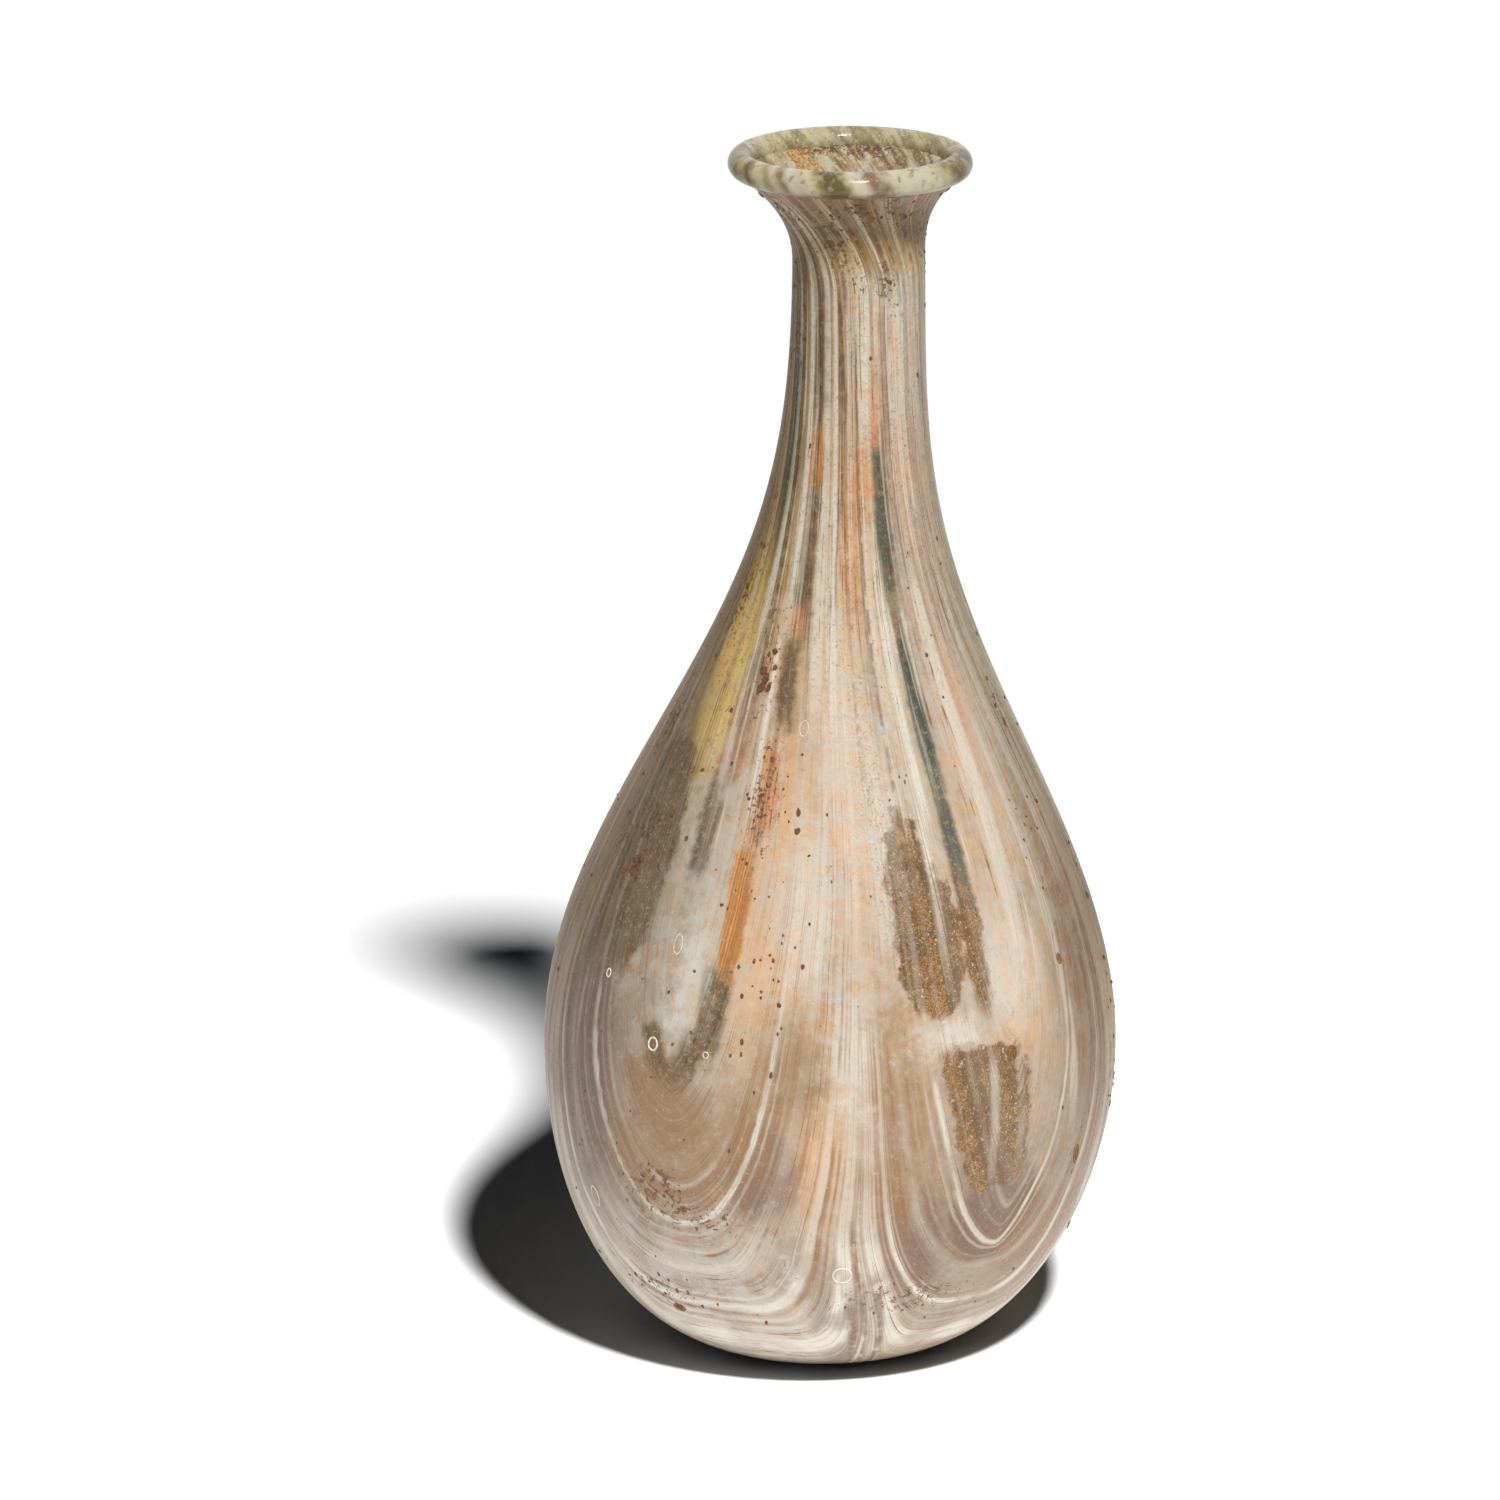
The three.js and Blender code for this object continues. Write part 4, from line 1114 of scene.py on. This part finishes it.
class Scatter:
    """One mesh of many small closed shapes that sit on the wall."""

    def __init__(self):
        self.points = []
        self.faces = []

    def add_rows(self, points, closed):
        """Rows of points that go round, which end in caps unless they close on each other."""
        rows, sides = points.shape[:2]
        first = len(self.points)
        self.points += points.reshape(-1, 3).tolist()
        for i in range(rows if closed else rows - 1):
            for j in range(sides):
                low, high = first + i * sides, first + (i + 1) % rows * sides
                after = (j + 1) % sides
                self.faces.append((low + j, low + after, high + after, high + j))
        if not closed:
            self.faces.append(tuple(first + j for j in reversed(range(sides))))
            self.faces.append(tuple(first + (rows - 1) * sides + j for j in range(sides)))

    def add_speck(self, azimuth, height, radius, tall, rough=0.35):
        place, around, up, out = wall_frame(azimuth, height)
        turns = np.arange(SPECK_SIDES) * 2 * math.pi / SPECK_SIDES
        uneven = radius * random.uniform(1 - rough, 1 + rough, SPECK_SIDES)
        rows = []
        for reach, lift in SPECK_RING_SHARES:
            sideways = np.outer(np.cos(turns) * uneven * reach, around)
            upwards = np.outer(np.sin(turns) * uneven * reach * tall, up)
            rows.append(place + sideways + upwards + out * lift * radius)
        self.add_rows(np.array(rows), closed=False)

    def add_ring(self, azimuth, height, radius, tall, section):
        place, around, up, out = wall_frame(azimuth, height)
        turns = np.arange(RING_SIDES) * 2 * math.pi / RING_SIDES
        tube = np.arange(TUBE_SIDES) * 2 * math.pi / TUBE_SIDES
        rows = []
        for turn in turns:
            reach = radius + section * np.cos(tube)
            flat = np.outer(reach * math.cos(turn), around) + np.outer(reach * math.sin(turn) * tall, up)
            sagged = place + flat + np.outer(section * np.sin(tube), out)
            dip = (radius * math.cos(turn)) ** 2 / (2 * float(outer_radius(height)))
            rows.append(sagged - out * dip)
        self.add_rows(np.array(rows), closed=True)

    def made(self, name, slot, material):
        return add_piece(name, smooth_mesh(name, self.points, self.faces), slot, material)


def dirt(name, light, dark):
    """Dry brown dirt, from a lighter to a darker colour."""
    g = Material(name)
    grain = g.noise(2.8, 5, 0.8)
    colour = g.mix(grain.fade(0.38, 0.62), dark, light)
    colour = g.mix(g.noise(0.6).fade(0.4, 0.7, 0, 0.4), colour, tone(160, 116, 66))
    g.bump(grain, DIRT_GRAIN)
    return g.finish(Base_Color=colour, Roughness=0.7)


def bubble_glass():
    """The bright skin round a bubble."""
    g = Material("bubble_glass")
    colour = g.mix(g.noise(3, 3).fade(0.35, 0.65), tone(208, 200, 184), tone(240, 236, 226))
    return g.finish(Base_Color=colour, Roughness=0.25)


def add_bubbles():
    """Rings round the bubbles and pits, and the dirt in some of them."""
    bright, dirty = Scatter(), Scatter()
    for azimuth, share, radius, tall, section, soiled in BUBBLE_SHARES:
        height = share * NECK_HEIGHT
        scatter = dirty if soiled else bright
        scatter.add_ring(azimuth, height, radius * UNIT, tall, section * UNIT)
        if soiled:
            dirty.add_speck(azimuth, height, radius * UNIT * PIT_DIRT_SHARE, tall, 0.2)
    bright.made("bubble_rings", "body_glass", bubble_glass())
    dirty.made("soiled_pits", "crust", dirt("pit_dirt", tone(176, 120, 62), tone(110, 70, 34)))


def add_specks():
    """Small raised grains of dirt, in the clusters of the table."""
    specks = Scatter()
    for azimuth, share, spread, rise, count, radius in SPECK_SHARES:
        for _ in range(count):
            around = azimuth + spread * random.normal()
            place = np.clip(share + rise * random.normal(), LOWEST_SPECK_SHARE, HIGHEST_SPECK_SHARE)
            size = radius * UNIT * random.uniform(0.5, 1.5)
            specks.add_speck(around, place * NECK_HEIGHT, size, random.uniform(0.8, 1.8))
    specks.made("dirt_specks", "crust", dirt("speck_dirt", tone(138, 92, 50), tone(80, 50, 26)))


# The arcs that the dirt in the mouth and the scar follow, in degrees, and in how many steps
MOUTH_DIRT_ARC = (140, 222, 90)
PONTIL_ARC = (0, 360, 72)


def uneven_ring(centre, radius, section, start, end, steps, closed):
    """A rough bar that follows an arc, thicker and thinner along its way."""
    bar = Scatter()
    tube = np.arange(TUBE_SIDES) * 2 * math.pi / TUBE_SIDES
    rows = []
    for i in range(steps):
        share = i / (steps if closed else steps - 1)
        a = math.radians(start + (end - start) * share)
        ends = 1 if closed else max(0.1, math.sin(math.pi * share)) ** 0.4
        thick = section * ends * random.uniform(0.45, 1.0)
        reach = radius + thick * np.cos(tube)
        height = centre[2] + thick * np.sin(tube)
        rows.append(np.stack([centre[0] + reach * math.sin(a), -reach * math.cos(a), height], axis=-1))
    bar.add_rows(np.array(rows), closed)
    return bar


def add_mouth_dirt():
    """The line of dirt in the crease at the back of the mouth."""
    low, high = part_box("crust_line_mouth")
    section = (high.z - low.z) / 2
    centre = (RIM_LEAN, 0, (high.z + low.z) / 2)
    bar = uneven_ring(centre, high.y - section, section, *MOUTH_DIRT_ARC, closed=False)
    line = bar.made("mouth_dirt_line", "crust", dirt("mouth_dirt", tone(104, 66, 36), tone(50, 28, 14)))
    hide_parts("crust_line_mouth")


def add_pontil():
    """The ring of rough glass in the kick."""
    low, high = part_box("pontil_scar")
    section = (high.z - low.z) / 2
    centre = ((high.x + low.x) / 2, 0, (high.z + low.z) / 2)
    bar = uneven_ring(centre, high.y - section, section, *PONTIL_ARC, closed=True)
    rough = dirt("pontil_glass", tone(206, 194, 176), tone(132, 108, 84))
    ring = bar.made("pontil_ring", "body_glass", rough)
    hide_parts("pontil_scar")


# The crust patches on the inside of the wall: azimuth, half width in degrees, and height shares
CRUST_PATCH_SHARES = {
    "crust_patch_right_upper": (24, 9, 0.38, 0.53),
    "crust_patch_right_lower": (32, 11, 0.20, 0.33),
    "crust_patch_left": (-23, 5, 0.40, 0.57),
    "crust_patch_neck": (-29, 22, 0.80, 0.87),
}
CRUST_GAP = 0.3 * UNIT
CRUST_THICKNESS = 0.6 * UNIT

# The points of a patch across and up, and how far from its two ends its first and last rows lie
CRUST_COLUMNS = 25
CRUST_ROWS = 41
CRUST_END_SHARE = 0.001


def crust_surface(azimuth, height, depth):
    """Places at a depth below the wall's outside."""
    nr, nz = profile_normal(height)
    radius = outer_radius(height) - nr * depth
    a = np.radians(azimuth)
    return np.stack([radius * np.sin(a) + lean(height), -radius * np.cos(a), height - nz * depth], axis=-1)


def add_crust_patches():
    """The lumpy crust that sticks to the inside of the wall."""
    for name, (middle, half, low, high) in CRUST_PATCH_SHARES.items():
        rise = np.linspace(CRUST_END_SHARE, 1 - CRUST_END_SHARE, CRUST_ROWS)[:, None]
        width = half * (1 - np.abs(2 * rise - 1) ** 4) ** 0.5
        across = np.linspace(-1, 1, CRUST_COLUMNS)[None, :]
        azimuth = middle + width * across
        height = (low + (high - low) * rise) * NECK_HEIGHT + 0 * azimuth
        lumps = random.uniform(0.45, 1.0, azimuth.shape)
        thick = CRUST_THICKNESS * lumps * (1 - across**6) * (1 - (2 * rise - 1) ** 8)
        near = crust_surface(azimuth, height, thickness(height) + CRUST_GAP)
        far = crust_surface(azimuth, height, thickness(height) + CRUST_GAP + thick)
        rows = np.concatenate([near, far[:, ::-1]], axis=1)
        patch = Scatter()
        patch.add_rows(rows, closed=False)
        material = dirt(name + "_dirt", tone(190, 132, 76), tone(96, 60, 32))
        made = patch.made(name.replace("crust_patch", "crust_flake"), "crust", material)
        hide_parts(name)


# The photograph's camera: it looks along +Y and down at the bottle
CAMERA_DISTANCE = 1.0
CAMERA_ELEVATION = 16
AIM_HEIGHT_SHARE = 0.5103
FOCAL_PIXELS = 8820.9
PHOTO_PIXELS = 1500
SENSOR_WIDTH = 36
AIM_PIXEL_X = 830.08
AIM_PIXEL_Y = 742.70


def add_camera():
    data = bpy.data.cameras.new("camera")
    data.sensor_width = SENSOR_WIDTH
    data.lens = FOCAL_PIXELS / PHOTO_PIXELS * SENSOR_WIDTH
    data.shift_x = (PHOTO_PIXELS / 2 - AIM_PIXEL_X) / PHOTO_PIXELS
    data.shift_y = (AIM_PIXEL_Y - PHOTO_PIXELS / 2) / PHOTO_PIXELS
    camera = placed("camera", data)
    tilt = math.radians(CAMERA_ELEVATION)
    back = Vector((0, -math.cos(tilt), math.sin(tilt)))
    camera.location = Vector((0, 0, RIM_HEIGHT * AIM_HEIGHT_SHARE)) + back * CAMERA_DISTANCE
    camera.rotation_euler = (math.pi / 2 - tilt, 0, 0)
    bpy.context.scene.camera = camera


# The lamps that light the bottle alone: name, azimuth, elevation and apparent size in degrees, and strength
LAMPS = [
    ("key", 14, 50, 10, 3.15),
    ("left_fill", -75, 12, 50, 0.42),
    ("right_fill", 82, 12, 50, 0.38),
    ("back_fill", 180, 20, 50, 1.3),
]

# The round lamp that casts the shadow on the floor: place and size in metres, power and colour
SHADOW_LAMP_PLACE = Vector((0.108, -0.344, 0.464))
SHADOW_LAMP_SIZE = 0.072
SHADOW_LAMP_WATTS = 19
SHADOW_LAMP_COLOUR = (1.0, 0.9, 0.806)


def shine_on(lamp, source, pieces):
    """Turn a lamp to shine from where a source lies, and on nothing but some pieces."""
    lamp.rotation_mode = "QUATERNION"
    lamp.rotation_quaternion = source.to_track_quat("Z", "Y")
    lit = bpy.data.collections.new(lamp.name + "_lit")
    for piece in pieces:
        lit.objects.link(piece)
    lamp.light_linking.receiver_collection = lit


def add_lamp(pieces, name, azimuth, elevation, size, strength):
    """A distant lamp. Only the key lamp is seen in reflections."""
    data = bpy.data.lights.new(name, "SUN")
    data.energy = strength
    data.angle = math.radians(size)
    lamp = placed(name, data)
    lamp.visible_glossy = name == "key"
    a, e = math.radians(azimuth), math.radians(elevation)
    source = Vector((math.sin(a) * math.cos(e), -math.cos(a) * math.cos(e), math.sin(e)))
    shine_on(lamp, source, pieces)


def add_shadow_lamp(floor):
    """The lamp that lights the floor, whose colour the floor's own colour evens out."""
    data = bpy.data.lights.new("shadow_lamp", "AREA")
    data.shape = "DISK"
    data.size = SHADOW_LAMP_SIZE
    data.energy = SHADOW_LAMP_WATTS
    data.color = SHADOW_LAMP_COLOUR
    lamp = placed("shadow_lamp", data)
    lamp.location = SHADOW_LAMP_PLACE
    shine_on(lamp, SHADOW_LAMP_PLACE, [floor])


# The colours of the floor and the world as the camera sees them and as they light the bottle
FLOOR_SEEN = (0.54, 0.60, 0.67)
FLOOR_LIGHTING = (0.27, 0.30, 0.335)
WORLD_SEEN = (1, 1, 1)
WORLD_LIGHTING = (0.0095, 0.012, 0.0148)

# The floor's half size, and between which distances it turns into glowing white, in metres
FLOOR_REACH = 3.0
WHITE_FROM = 0.17
ALL_WHITE_FROM = 0.28


def add_floor():
    """A plain white floor, which keeps the shadow round the bottle and glows further away."""
    mesh = bpy.data.meshes.new("floor")
    corners = [(x * FLOOR_REACH, y * FLOOR_REACH, 0) for x, y in ((-1, -1), (1, -1), (1, 1), (-1, 1))]
    mesh.from_pydata(corners, [], [(0, 1, 2, 3)])
    floor = placed("floor", mesh)
    material = bpy.data.materials.new("floor")
    material.use_nodes = True
    g = Graph(material.node_tree)
    g.tree.nodes.clear()
    far = g.value("VectorMath", {0: g.value("TexCoord", {}, "Object")}, "Value", operation="LENGTH")
    near = g.value("BsdfDiffuse", {"Color": g.camera_switch(FLOOR_SEEN, FLOOR_LIGHTING)})
    glow = g.value("Emission", {"Color": g.camera_switch(WORLD_SEEN, WORLD_LIGHTING)})
    both = g.value("MixShader", {0: far.fade(WHITE_FROM, ALL_WHITE_FROM), 1: near, 2: glow})
    g.node("OutputMaterial", {"Surface": both})
    mesh.materials.append(material)
    return floor


def add_world():
    """An even white surrounding, which lights the bottle only faintly."""
    world = bpy.data.worlds.new("studio")
    bpy.context.scene.world = world
    world.use_nodes = True
    g = Graph(world.node_tree)
    g.put(g.tree.nodes["Background"].inputs["Color"], g.camera_switch(WORLD_SEEN, WORLD_LIGHTING))


more_for_the_back()
add_camera()
add_world()
floor = add_floor()
add_shadow_lamp(floor)
bpy.context.scene.view_settings.view_transform = "Standard"
add_wall()
add_rim()
add_bubbles()
add_specks()
add_mouth_dirt()
add_pontil()
add_crust_patches()

pieces = [piece for piece in bpy.context.scene.objects if piece.type == "MESH" and piece != floor]
for lamp in LAMPS:
    add_lamp(pieces, *lamp)
